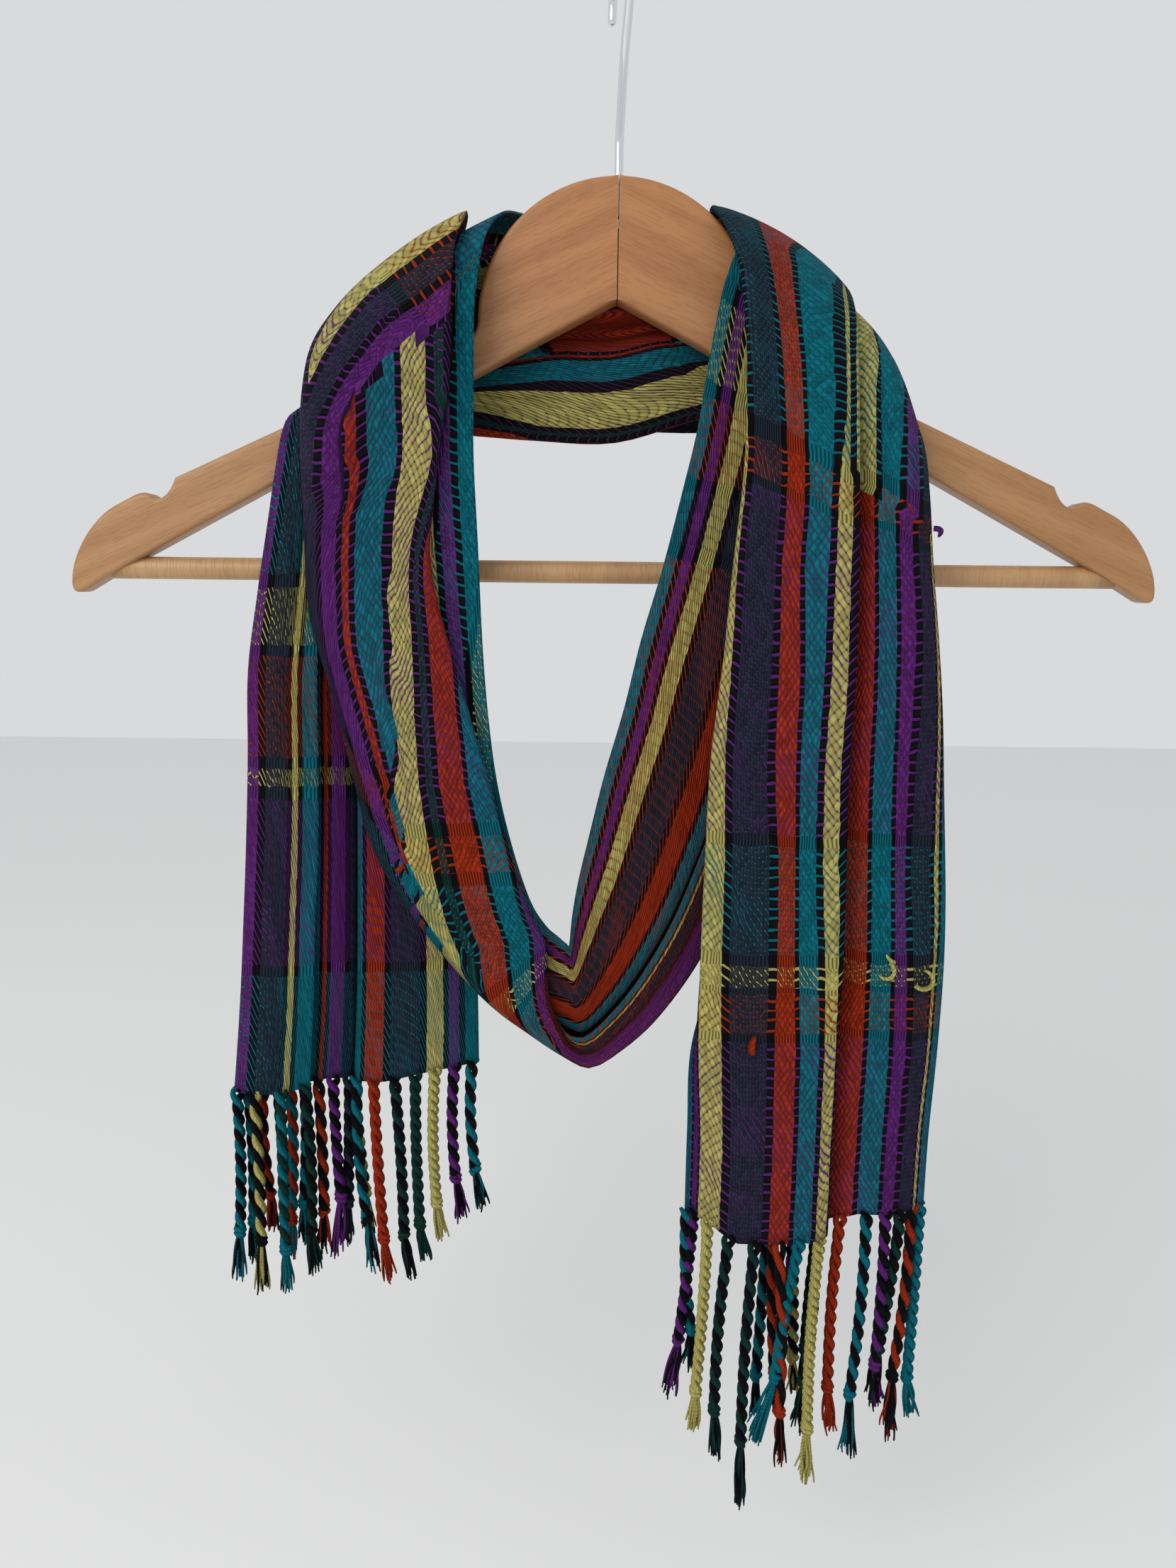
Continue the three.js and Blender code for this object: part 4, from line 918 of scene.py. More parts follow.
def bands(tree, place, chart, end, marked):
    """Colour and mark of the band in which `place` (in metres) lies."""
    colour, mark = None, None
    for first in range(0, len(chart), RAMP_STOPS):
        part = chart[first:first + RAMP_STOPS]
        low = part[0][0]
        high = chart[first + RAMP_STOPS][0] if first + RAMP_STOPS < len(chart) else end
        ramp = put(tree, "ShaderNodeValToRGB")
        ramp.color_ramp.interpolation = "CONSTANT"
        feed(tree, ramp.inputs[0], between(tree, place, low * MM, high * MM, soft=False))
        stops = ramp.color_ramp.elements
        stops.remove(stops[1])
        for k, (start, yarn) in enumerate(part):
            at = (start - low) / (high - low)
            stop = stops[0] if k == 0 else stops.new(at)
            stop.position = at
            shown = "ink" if yarn == "float" else yarn
            stop.color = (*dyed(shown), 0.0 if yarn == marked else 1.0)
        if colour is None:
            colour, mark = ramp.outputs[0], ramp.outputs[1]
            continue
        later = calc(tree, "GREATER_THAN", place, low * MM)
        colour = blend(tree, later, colour, ramp.outputs[0])
        mark = between(tree, later, 0.0, 1.0, mark, ramp.outputs[1], soft=False)
    return colour, mark


print("ramps for the warp", -(-len(WARP_CHART) // RAMP_STOPS))

# %% [markdown]
# ## The weave
# In a coloured stripe every warp end is a column of oval grains, each grain one float over the
# weft, and neighbouring columns are half a step apart, so the grains lie close together as in a
# honeycomb. The weft shows in the small gaps. In the black bundles between the stripes the ends
# move together, so the weft crosses them as a rung every few millimetres. In a float row the warp
# threads lie side by side with nothing over them. The group works all this out from the width and
# the length in metres, with a little noise for the hand of the weaver.

# %% Grains of every other warp end
END_WIDTH = 1.15 * MM                     # one warp end
PICK_LENGTH = 4.15 * MM                   # two picks, from grain to grain in one column
GRAIN_HALF_WIDTH = 0.98 * MM
GRAIN_HALF_LENGTH = 1.85 * MM
GRAIN_POWER = 1.5                         # 2 would be an ellipse, 1 a lozenge
GRAIN_SHIFT = 0.07 * PICK_LENGTH          # how far a column may slip along the cloth
WEFT_SHINE = 0.03                         # share of weft colour in a grain
RUNG_EDGE = (0.62 * MM, 0.42 * MM)
BLOCK_EDGE = (0.5 * MM, 1.6 * MM)

weave, taken, given = new_group(
    "handwoven cloth",
    [("Across", FLOAT, 0.0), ("Along", FLOAT, 0.0), ("Warp", COLOUR, None),
     ("Coloured", FLOAT, 1.0), ("Weft", COLOUR, None), ("Woven", FLOAT, 1.0),
     ("Lean", FLOAT, 0.0)],
    [("Color", COLOUR), ("Height", FLOAT)])
w = weave
across, along, warp, coloured, weft, woven, lean = (taken.outputs[k] for k in range(7))


def centred(tree, value, size):
    """Signed distance from the middle of the cell in which the value lies, and the cell."""
    cell = calc(tree, "DIVIDE", value, size)
    part = calc(tree, "SUBTRACT", calc(tree, "FRACT", cell), 0.5)
    return calc(tree, "MULTIPLY", part, size), calc(tree, "FLOOR", cell)


def bulge(tree, value, half):
    """|value / half| to the power that rounds a grain."""
    share = calc(tree, "DIVIDE", calc(tree, "ABSOLUTE", value), half)
    return calc(tree, "POWER", share, GRAIN_POWER)


def grains(tree, half):
    """Every other warp end. Height of a grain = root of 1 - |x / a|^1.5 - |y / b|^1.5."""
    x, column = centred(tree, calc(tree, "ADD", across, half * END_WIDTH), 2 * END_WIDTH)
    shift = calc(tree, "MULTIPLY_ADD", dice(tree, column, half * 7.0), GRAIN_SHIFT,
                 half * PICK_LENGTH / 2)
    y, row = centred(tree, calc(tree, "ADD", along, shift), PICK_LENGTH)
    x = calc(tree, "ADD", x, calc(tree, "MULTIPLY", y, lean))
    sides = calc(tree, "ADD", bulge(tree, x, GRAIN_HALF_WIDTH), bulge(tree, y, GRAIN_HALF_LENGTH))
    dome = calc(tree, "SUBTRACT", 1.0, sides, clamp=True)
    return calc(tree, "POWER", dome, 0.5), dice(tree, column, row, half * 3.0)


even, even_luck = grains(w, 0.0)
uneven, uneven_luck = grains(w, 1.0)
print("both rows of grains", len(w.nodes), "nodes")

# %% Stripes, rungs and floats
dome = calc(w, "MAXIMUM", even, uneven)
own_luck = between(w, calc(w, "GREATER_THAN", uneven, even), 0.0, 1.0, even_luck, uneven_luck,
                   False)
# painted shade: each grain is lightest on its top and darker towards its edge, 0.42 to 0.97 of its
# colour; the random factor after it is the yarn's own uneven tone
shade = calc(w, "MULTIPLY_ADD", dome, 0.55, 0.42)
shade = calc(w, "MULTIPLY", shade, between(w, own_luck, 0.0, 1.0, 0.72, 1.25, False))
grain_colour = times(w, blend(w, WEFT_SHINE, warp, weft), shade)
stripe_colour = blend(w, between(w, dome, 0.03, 0.24), weft, grain_colour)

# the black bundle and its rung, with painted shade beside each rung
rung_place, _ = centred(w, along, PICK_LENGTH)
rung_far = calc(w, "ABSOLUTE", rung_place)
rung = between(w, rung_far, *RUNG_EDGE)
block = between(w, rung_far, *BLOCK_EDGE)
# painted shade and light: the black bundle is 0.3 of its colour beside each rung and 1.2 midway
# between rungs
bundle_with_painted_shade = times(w, warp, calc(w, "MULTIPLY_ADD", block, 0.9, 0.3))
# painted shade: the weft in a rung is darkened to 0.8 where it sinks between the ends
ladder_colour = blend(w, rung, bundle_with_painted_shade, times(w, weft, (0.8, 0.8, 0.8)))

# long warp threads in a float row, with painted shade in the grooves between them
thread_x, _ = centred(w, across, END_WIDTH)
thread = calc(w, "COSINE", calc(w, "MULTIPLY", thread_x, 3.0 / END_WIDTH))
# painted shade: a float thread is darkest at its sides, down to 0.26 of its colour
floats_with_painted_shade = times(w, warp, calc(w, "MULTIPLY_ADD", thread, 0.8, 0.2))

woven_colour = blend(w, coloured, ladder_colour, stripe_colour)
feed(w, given.inputs["Color"], blend(w, woven, floats_with_painted_shade, woven_colour))
ladder_height = calc(w, "MAXIMUM", calc(w, "MULTIPLY", rung, 0.6), block)
woven_height = between(w, coloured, 0.0, 1.0, ladder_height, dome, False)
feed(w, given.inputs["Height"], between(w, woven, 0.0, 1.0, thread, woven_height, False))
print("weave group", len(w.nodes), "nodes")

# %% [markdown]
# ## The cloth's material
# The charts are read at slightly shaken places, so that no edge is ruled. Hand-spun looking yarn
# in an open weave is matt, so the surface is rough and hardly glossy.

# %% Cloth material
SHAKE, SHAKE_SCALE = 0.7 * MM, 160.0
LEAN_SCALE, LEAN_MOST = 38.0, 0.9
WEAVE_RELIEF = 0.6 * MM
END_MARGIN = 20.0                         # the last weft block runs on past the mean length

cloth_material, c, shader = new_material(
    "striped cloth", Roughness=0.8, Specular_IOR_Level=0.08)
place = surface_place(c)
over, down, _ = split(c, place)
sway = calc(c, "SUBTRACT", noise(c, place, SHAKE_SCALE, 1.0), 0.5)
cloth_across = calc(c, "MULTIPLY_ADD", sway, SHAKE, over)
cloth_along = calc(c, "MULTIPLY_ADD", sway, SHAKE * 3, down)
pick = put(c, "ShaderNodeAttribute", attribute_type="GEOMETRY", attribute_name="pick_place")
pick_at = calc(c, "MULTIPLY_ADD", sway, SHAKE * 3, pick.outputs["Fac"])
warp_colour, warp_mark = bands(c, cloth_across, WARP_CHART, WIDTH, "ink")
weft_colour, weft_mark = bands(c, pick_at, WEFT_CHART, scarf_length + END_MARGIN, "float")
tilt = calc(c, "MULTIPLY", calc(c, "SUBTRACT", noise(c, place, LEAN_SCALE), 0.4), LEAN_MOST)
woven_cloth = use_group(
    c, weave, Lean=tilt, Across=cloth_across, Along=cloth_along, Warp=warp_colour,
    Coloured=warp_mark, Weft=weft_colour, Woven=weft_mark)
feed(c, shader.inputs["Base Color"], woven_cloth.outputs["Color"])
emboss(c, shader, woven_cloth.outputs["Height"], WEAVE_RELIEF)
scarf.data.materials.append(cloth_material)
print("cloth material", len(c.nodes), "nodes")

# %% [markdown]
# ## Tubes
# Cords, loose yarns, the bar and the hook are all a round profile carried along a path. The
# profile's plane is square to the path, and a fixed reference direction keeps it from spinning.

# %% Profile along a path


def tubes(paths, radii, sides, reference):
    """paths has many routes of equally many points. Ring point = route point + radius *
    (cos * side + sin * up), where side is tangent x reference and up is side x tangent."""
    count, steps = paths.shape[:2]
    tangent = np.gradient(paths, axis=1)
    tangent /= np.linalg.norm(tangent, axis=2)[:, :, None]
    side = np.cross(tangent, np.array(reference, float))
    side /= np.linalg.norm(side, axis=2)[:, :, None]
    up = np.cross(side, tangent)
    angle = np.arange(sides) * 2 * math.pi / sides
    ring = side[:, :, None] * np.cos(angle)[:, None] + up[:, :, None] * np.sin(angle)[:, None]
    radius = np.broadcast_to(radii, (count, steps))[:, :, None, None]
    points = (paths[:, :, None] + radius * ring).reshape(-1, 3)
    index = np.arange(count * steps * sides).reshape(count, steps, sides)
    a, b = index[:, :-1], index[:, 1:]
    quads = np.stack([a, np.roll(a, -1, 2), np.roll(b, -1, 2), b], axis=3).reshape(-1, 4)
    caps = np.concatenate([index[:, 0, ::-1], index[:, -1]])
    run = np.concatenate([np.zeros((count, 1)), np.cumsum(
        np.linalg.norm(np.diff(paths, axis=1), axis=2), axis=1)], axis=1)
    uv = np.stack(np.broadcast_arrays(
        angle[None, None] * radius[..., 0], run[:, :, None]), axis=3).reshape(-1, 2)
    return points, quads, caps, uv


def joined(*shapes):
    """One set of arrays from several, with the corner numbers moved on."""
    points, quads, caps, uv, start = [], [], [], [], 0
    for shape in shapes:
        points.append(shape[0])
        quads.append(shape[1] + start)
        caps += (shape[2] + start).tolist()
        uv.append(shape[3])
        start += len(shape[0])
    return np.concatenate(points), np.concatenate(quads), caps, np.concatenate(uv)


print("tubes ready")

# %% [markdown]
# ## The fringe
# At each hem the warp ends are taken in bunches. Two bunches are twisted hard one way and then
# laid round each other the other way, and a knot stops them from opening. Below it the yarns are
# free. So a cord here is two round plies on a helix, the knot is a short coil, and the tassel is
# two dozen thin yarns. Each ply has the colour of the stripe that it comes from.

# %% Rows of the two fringes
# u, twisted length, tassel, knot x, tip x, knot y, first yarn, second yarn, turn of the helix
FRINGE_RIGHT = [
    (3, 56, 18, 3, 3, 0, "teal", "ink", 16), (10.5, 60, 26, -5, -9, 0, "violet", "ink", 12),
    (19.5, 79, 18, -3, -4, 0, "lime", "lime", 12), (28, 80, 24, -4, -3, 0, "pine", "ink", 15),
    (38, 92, 31, -3, -3, 0, "pine", "ink", 16), (47.5, 78, 24, 3, 4, 0, "rust", "ink", 28),
    (56, 63, 30, -8, -16, 0, "teal", "teal", 14), (64, 85, 26, -2, -2, -2, "lime", "lime", 10),
    (73, 68, 24, -2, -3, 0, "pine", "ink", 14), (83, 58, 22, -4, -3, 0, "violet", "ink", 13),
    (92, 66, 18, 3, 4, 0, "rust", "ink", 20), (102, 72, 20, -2, -2, 2, "teal", "ink", 16),
    (112, 64, 18, 3, 4, 2, "lime", "ink", 14), (122, 60, 20, -3, -2, 1, "pine", "ink", 14),
    (132, 80, 20, -2, -1, 0, "rust", "rust", 16), (143.5, 84, 28, -3, -3, 0, "teal", "ink", 16),
    (152, 70, 20, -1, 1, 0, "violet", "ink", 14), (160, 64, 24, -6, -8, 0, "pine", "ink", 14),
    (167.5, 78, 30, -4, -4, 0, "ink", "rust", 18), (174, 80, 18, -1, 1, 0, "teal", "teal", 14)]
FRINGE_LEFT = [
    (3, 50, 18, 1, 4, 0, "teal", "ink", 15), (11, 52, 20, 0, 2, 0, "violet", "ink", 13),
    (20, 62, 17, 0, 2, 0, "lime", "lime", 11), (29, 70, 17, 1, 3, 0, "pine", "pine", 14),
    (38, 73, 20, 3, 6, 0, "pine", "ink", 14), (47, 74, 19, 3, 5, 0, "rust", "rust", 16),
    (55, 66, 24, 3, 5, 0, "ink", "teal", 16), (64, 58, 18, 3, 4, 2, "lime", "ink", 14),
    (73, 60, 20, -2, -3, 1, "slate", "ink", 14), (82, 56, 28, 2, 0, 0, "violet", "ink", 13),
    (91, 62, 18, 1, 1, 0, "rust", "ink", 18), (101, 58, 20, -2, -2, 1, "teal", "ink", 16),
    (112, 66, 18, -2, -3, 2, "rust", "teal", 18), (122, 60, 18, 2, 2, 1, "pine", "ink", 14),
    (132, 52, 18, 1, 1, 1, "rust", "ink", 20), (142, 64, 20, 0, 0, 1, "teal", "ink", 16),
    (151, 66, 22, -1, -2, 0, "teal", "ink", 14), (158, 68, 24, 1, 1, -1, "ink", "lime", 16),
    (167, 73, 19, 0, 0, -1, "teal", "pine", 14), (174.5, 67, 19, 1, 2, 0, "ink", "pine", 15)]
print("cords", len(FRINGE_RIGHT), "and", len(FRINGE_LEFT))

# %% Cords of both hems
PLY_RADIUS, PLY_OFFSET = 1.5, 1.2
PLY_STEPS, PLY_SIDES = 92, 6
ROOT_HEIGHT = 1.5                         # the cords start this far inside the hem
TURN_SHARE = 0.8                          # of the turns in the tables
KNOT_RADIUS, COIL_RADIUS, COIL_HALF, COIL_TURNS, COIL_STEPS = 1.5, 1.35, 1.7, 1.7, 30
TASSEL_YARNS, TASSEL_STEPS, TASSEL_SIDES = 24, 12, 4
YARN_RADIUS = 0.6
chance = np.random.default_rng(11)


def columns_of(table):
    """The six numbers and the helix turn as columns, and the two colours as arrays."""
    numbers = np.array([row[:6] + row[8:] for row in table], float).T[:, :, None]
    colours = np.array([[dyed(row[6]), dyed(row[7])] for row in table])
    return numbers, colours


def fringe(name, hem, hem_u, table):
    """Plies: root + share of the way to the knot + offset * (cos, sin) of the turn so far, with
    the offset wider at the root. Tassel: from the knot to the tip, spreading with the root of the
    share, plus a slow wave."""
    (u, twist, tassel, knot_x, tip_x, knot_y, turn), colours = columns_of(table)
    root = np.stack([np.interp(u[:, 0], hem_u, hem[:, k]) for k in range(3)], axis=1)
    count = len(table)
    t = np.linspace(0, 1, PLY_STEPS)[None]
    bow = chance.uniform(-1.6, 1.6, (count, 1)) * np.sin(math.pi * t)
    start = chance.uniform(0, math.pi, (count, 1))
    shapes, shades = [], []
    for ply in (0, 1):
        angle = start + 2 * math.pi * twist * t / (TURN_SHARE * turn) + math.pi * ply
        away = PLY_OFFSET + 1.5 * np.exp(-twist * t / 3)
        path = np.stack([
            root[:, :1] + knot_x * t**1.3 + bow + away * np.cos(angle),
            root[:, 1:2] + knot_y * t + PLY_OFFSET * np.sin(angle),
            root[:, 2:] + ROOT_HEIGHT - twist * t + 0 * angle], axis=2)
        radius = PLY_RADIUS * (1 - 0.12 * np.cos(2 * angle)) * np.clip(0.55 + twist * t / 6, 0, 1)
        shapes.append(tubes(path, radius, PLY_SIDES, (0, 1, 0)))
        shades.append(np.repeat(colours[:, ply], PLY_STEPS * PLY_SIDES, axis=0))
    knot = root + np.stack([knot_x[:, 0], knot_y[:, 0], ROOT_HEIGHT - twist[:, 0]], axis=1)
    coil = start + np.linspace(0, 2 * COIL_TURNS * math.pi, COIL_STEPS)
    path = np.stack([
        knot[:, :1] + COIL_RADIUS * np.cos(coil), knot[:, 1:2] + COIL_RADIUS * np.sin(coil),
        knot[:, 2:] + np.linspace(COIL_HALF, -COIL_HALF, COIL_STEPS) + 0 * start], axis=2)
    shapes.append(tubes(path, KNOT_RADIUS, PLY_SIDES, (0, 0, 1)))
    shades.append(np.repeat(colours[:, 0], COIL_STEPS * PLY_SIDES, axis=0))
    s = np.linspace(0, 1, TASSEL_STEPS)[None, None]
    each = (count, TASSEL_YARNS, 1)
    way = chance.uniform(0, 2 * math.pi, each)
    spread = chance.uniform(0.4, 3.4, each)
    reach = tassel[:, :, None] * chance.uniform(0.72, 1.05, each)
    wave = chance.uniform(-1.3, 1.3, each) * np.sin(s * 5 + way) * s
    lean = (tip_x - knot_x)[:, :, None]
    path = np.stack([
        knot[:, :1, None] + lean * s + spread * np.sqrt(s) * np.cos(way) + wave,
        knot[:, 1:2, None] + spread * np.sqrt(s) * np.sin(way) - wave,
        knot[:, 2:, None] - 0.5 - reach * s + 0 * way], axis=3).reshape(-1, TASSEL_STEPS, 3)
    shapes.append(tubes(path, YARN_RADIUS * (1 - 0.5 * s[0] ** 4), TASSEL_SIDES, (0, 1, 0)))
    picked = colours[:, np.arange(TASSEL_YARNS) % 2].reshape(-1, 3)
    shades.append(np.repeat(picked, TASSEL_STEPS * TASSEL_SIDES, axis=0))
    return painted(name, joined(*shapes), np.concatenate(shades))


def painted(name, shape, colours):
    """A piece with one colour for each point, as an attribute that a material can read."""
    piece = make_piece(name, *shape)
    layer = piece.data.color_attributes.new("yarn_colour", "FLOAT_COLOR", "POINT")
    rgba = np.concatenate([colours, np.ones((len(colours), 1))], axis=1)
    layer.data.foreach_set("color", rgba.astype(np.float32).ravel())
    return piece


right_fringe = fringe("fringe_cords_right", cloth[0], cloth_u[0], FRINGE_RIGHT)
left_fringe = fringe("fringe_cords_left", cloth[-1], cloth_u[-1], FRINGE_LEFT)

# %% [markdown]
# ## Loose yarns
# Where the weaver changed the weft, its ends stand out from the cloth as small curls. Each is a
# short tube that starts on the cloth, turns as it goes and lifts a little.

# %% Loose yarn ends
# u, distance from the right hem, direction in degrees, turn over its length, length, radius, yarn
LOOSE_ENDS = [
    (148, 118, 20, 200, 13, 0.9, "lime"), (157, 110, 60, -230, 16, 1.0, "lime"),
    (150, 116, 200, 40, 5, 0.8, "lime"), (36, 80, 250, 50, 8, 1.5, "rust"),
    (175, 305, 0, 90, 5, 1.1, "violet"), (146, 1668, 180, 100, 5, 1.1, "rust"),
    (13, 262, 160, 80, 5, 0.8, "teal")]
LOOSE_STEPS = 14


def loose_yarns(table):
    """Point i: the one before plus a step in the cloth's plane whose direction turns evenly, and
    a lift of sin(180 degrees * share)."""
    u0, v0, way, turn, size, radius = np.array([row[:6] for row in table], float).T[:, :, None]
    rows = np.abs(mean_length[None] - v0).argmin(axis=1)
    columns = np.abs(cloth_u[rows] - u0).argmin(axis=1)
    normal = front_normals(cloth)[rows, columns][:, None]
    down = (cloth[rows - 1, columns] - cloth[rows, columns])[:, None]
    down /= np.linalg.norm(down, axis=2)[:, :, None]
    over = np.cross(normal, down)
    share = np.linspace(0, 1, LOOSE_STEPS)[None]
    angle = np.radians(way + turn * share)[..., None]
    step = (size / LOOSE_STEPS)[..., None] * (np.cos(angle) * over + np.sin(angle) * down)
    lift = (THICKNESS / 2 + radius * (0.6 + 1.5 * np.sin(math.pi * share)))[..., None]
    path = cloth[rows, columns][:, None] + np.cumsum(step, axis=1) + lift * normal
    shape = tubes(path, radius * np.sqrt(1.05 - share**4), PLY_SIDES, (0, 1, 0.3))
    dyes = np.repeat([dyed(row[6]) for row in table], LOOSE_STEPS * PLY_SIDES, axis=0)
    return painted("loose_yarns", shape, dyes)


loose_piece = loose_yarns(LOOSE_ENDS)
print("loose ends", len(LOOSE_ENDS))

# %% [markdown]
# ## Yarn material
# A spun yarn shows slanting lines of fibre. They are a sine of the distance along the tube plus
# the way round it: a small relief, with painted shade in its grooves and light on its ridges.

# %% Yarn material
FIBRES_ALONG, FIBRES_ROUND = 4200.0, 3000.0        # radians a metre

yarn_material, g, shader = new_material(
    "twisted yarn", Roughness=0.8, Specular_IOR_Level=0.08)
round_yarn, along_yarn, _ = split(g, surface_place(g))
slant = calc(g, "MULTIPLY_ADD", along_yarn, FIBRES_ALONG, calc(
    g, "MULTIPLY", round_yarn, FIBRES_ROUND))
fibre = calc(g, "MULTIPLY_ADD", calc(g, "SINE", slant), 0.5, 0.5)
colour = put(g, "ShaderNodeAttribute", attribute_type="GEOMETRY", attribute_name="yarn_colour")
# painted shade and light along the twist, 0.75 to 1.15 of the yarn's colour
twist_with_painted_shade = calc(g, "MULTIPLY_ADD", fibre, 0.4, 0.75)
feed(g, shader.inputs["Base Color"], times(g, colour.outputs["Color"], twist_with_painted_shade))
emboss(g, shader, fibre, 0.3 * MM)
for piece in (right_fringe, left_fringe, loose_piece):
    piece.data.materials.append(yarn_material)
print("yarn material", len(g.nodes), "nodes")

# %% [markdown]
# ## The wooden arms
# Each arm is sawn from a flat board and its edges are rounded with a router. The outline is a
# closed line of arcs and Bezier curves. It is carried through the board's thickness, and near
# each face it moves inwards along a quarter circle, except at the middle seam, where the two arms
# are glued and the edge stays sharp.

# %% Outline of one arm
BOARD = 12.0
EDGE_ROUND = 1.8
SEAM = 0.15
HEAD_CENTRE, HEAD_RADIUS, HEAD_UNDER = -140.4, 55.0, -131.0
ROOT_X, ROOT_TOP = 57.0, -146.5
TOP_SLOPE, UNDER_SLOPE = 0.45, 0.512
END_X, TIP_X, TIP_HEIGHT = 201.0, 220.5, -246.5
NOTCH_X, NOTCH_RADIUS = 183.0, 6.5


def bezier(*corners, steps=14):
    """Sum of the corners with Bernstein weights, without the last point."""
    t = np.linspace(0, 1, steps, endpoint=False)[:, None]
    n = len(corners) - 1
    return sum(math.comb(n, k) * t**k * (1 - t) ** (n - k) * np.array(corners[k], float)
               for k in range(n + 1))


def arm_outline():
    """Points (x, z) clockwise: up the seam, over the head, along the top with its strap notch,
    round the tip and back along the underside."""
    top = lambda x, lift=0.0: (x, ROOT_TOP - (x - ROOT_X) * TOP_SLOPE + lift)
    join = math.atan2(ROOT_TOP - HEAD_CENTRE, ROOT_X) + 0.12
    start = math.acos(SEAM / HEAD_RADIUS)
    angle = np.linspace(start, join, 60, endpoint=False)
    head = np.stack([HEAD_RADIUS * np.cos(angle), HEAD_CENTRE + HEAD_RADIUS * np.sin(angle)], 1)
    leave = (HEAD_RADIUS * math.cos(join), HEAD_CENTRE + HEAD_RADIUS * math.sin(join))
    end_z = ROOT_TOP - (END_X - ROOT_X) * TOP_SLOPE
    left, low, right = top(NOTCH_X - NOTCH_RADIUS), top(NOTCH_X + 2, -4.55), top(NOTCH_X + 11, 0.5)
    under = lambda x, lift=0.0: (x, HEAD_UNDER - x * UNDER_SLOPE + lift)
    return np.concatenate([
        bezier((SEAM, HEAD_UNDER), (SEAM, HEAD_CENTRE + HEAD_RADIUS), steps=12),
        head,
        bezier(leave, top(ROOT_X - 1.5, -0.7), top(ROOT_X + 8)),
        bezier(top(ROOT_X + 8), left, steps=24),
        bezier(left, (NOTCH_X - 3, top(NOTCH_X)[1] - NOTCH_RADIUS * 0.9), low, steps=10),
        bezier(low, top(NOTCH_X + 5, 1), right, steps=10),
        bezier(right, (END_X, end_z), steps=4),
        bezier((END_X, end_z), (END_X + 10, end_z - 5), (TIP_X, end_z - 20),
               (TIP_X, TIP_HEIGHT + 4), steps=30),
        bezier((TIP_X, TIP_HEIGHT + 4), (TIP_X, TIP_HEIGHT - 1), (TIP_X - 5, TIP_HEIGHT + 1),
               steps=10),
        bezier((TIP_X - 5, TIP_HEIGHT + 1), under(END_X, -3), steps=6),
        bezier(under(END_X, -3), under(ROOT_X), steps=20),
        bezier(under(ROOT_X), (SEAM, HEAD_UNDER), steps=12)])


outline = arm_outline()
print("outline", len(outline), "points")

# %% Carry the outline through the board
EDGE_STEPS = 7                            # rings in each quarter circle
SEAM_EASE = 4.0                           # the rounding begins over this width beside the seam
GRAIN_APART = 400.0                       # keeps the grain of one arm off the other's


def board(name, outline, side):
    """Rings at the depths of two quarter circles; each ring is the outline moved inwards by
    EDGE_ROUND * (1 - sin), less near the seam. The faces are the first and last ring."""
    edge = np.roll(outline, -1, 0) - np.roll(outline, 1, 0)
    edge /= np.linalg.norm(edge, axis=1)[:, None]
    inward = np.stack([edge[:, 1], -edge[:, 0]], axis=1)
    ease = np.clip(outline[:, :1] / SEAM_EASE, 0, 1)
    angle = np.linspace(0, math.pi / 2, EDGE_STEPS)
    depth = BOARD / 2 - EDGE_ROUND + EDGE_ROUND * np.cos(angle)
    inset = EDGE_ROUND * (1 - np.sin(angle))
    depths = np.concatenate([depth, -depth[::-1]])
    insets = np.concatenate([inset, inset[::-1]])
    flat = outline[None] + insets[:, None, None] * (inward * ease)[None]
    rings = np.stack(np.broadcast_arrays(
        side * flat[:, :, 0], depths[:, None], flat[:, :, 1]), axis=2)
    levels, count = rings.shape[:2]
    index = np.arange(levels * count).reshape(levels, count)
    a, b = index[:-1], index[1:]
    quads = np.stack([a, np.roll(a, -1, 1), np.roll(b, -1, 1), b], axis=2).reshape(-1, 4)
    points = rings.reshape(-1, 3)
    fall = math.atan(TOP_SLOPE)
    along = np.abs(points[:, 0]) * math.cos(fall) - points[:, 2] * math.sin(fall)
    grain = np.abs(points[:, 0]) * math.sin(fall) + points[:, 2] * math.cos(fall)
    uv = np.stack([along + GRAIN_APART * side, grain + 3 * points[:, 1]], axis=1)
    piece = make_piece(name, points, quads, [index[0, ::-1], index[-1]], uv)
    faces = len(piece.data.polygons)
    piece.data.polygons.foreach_set("use_smooth", [k < faces - 2 for k in range(faces)])
    return piece


right_arm = board("arm_right", outline, 1)
left_arm = board("arm_left", outline, -1)

# %% [markdown]
# ## Bar and hook
# The bar is a plain turned rod. The hook is one bent wire: a straight shank, a bend out, and
# nearly two thirds of a circle over the rail. A Catmull-Rom curve through a few points gives the
# bends, and a round profile is carried along it.

# %% Bar and hook
BAR_RADIUS, BAR_HEIGHT, BAR_HALF = 4.5, -236.0, 205.0
BAR_STEPS, BAR_SIDES = 30, 40
WIRE_RADIUS, HOOK_RADIUS = 1.75, 21.75
WIRE_STEPS, WIRE_SIDES, ROUND_STEPS = 150, 20, 5
HOOK_TURN = math.radians(82)
HOOK_SOCKET = 14.0

bar_ends = (-BAR_HALF, 0, BAR_HEIGHT), (BAR_HALF, 0, BAR_HEIGHT)
bar_path = np.linspace(*bar_ends, BAR_STEPS)[None]
bar = make_piece("hanging_bar", *tubes(bar_path, BAR_RADIUS, BAR_SIDES, (0, 1, 0)))

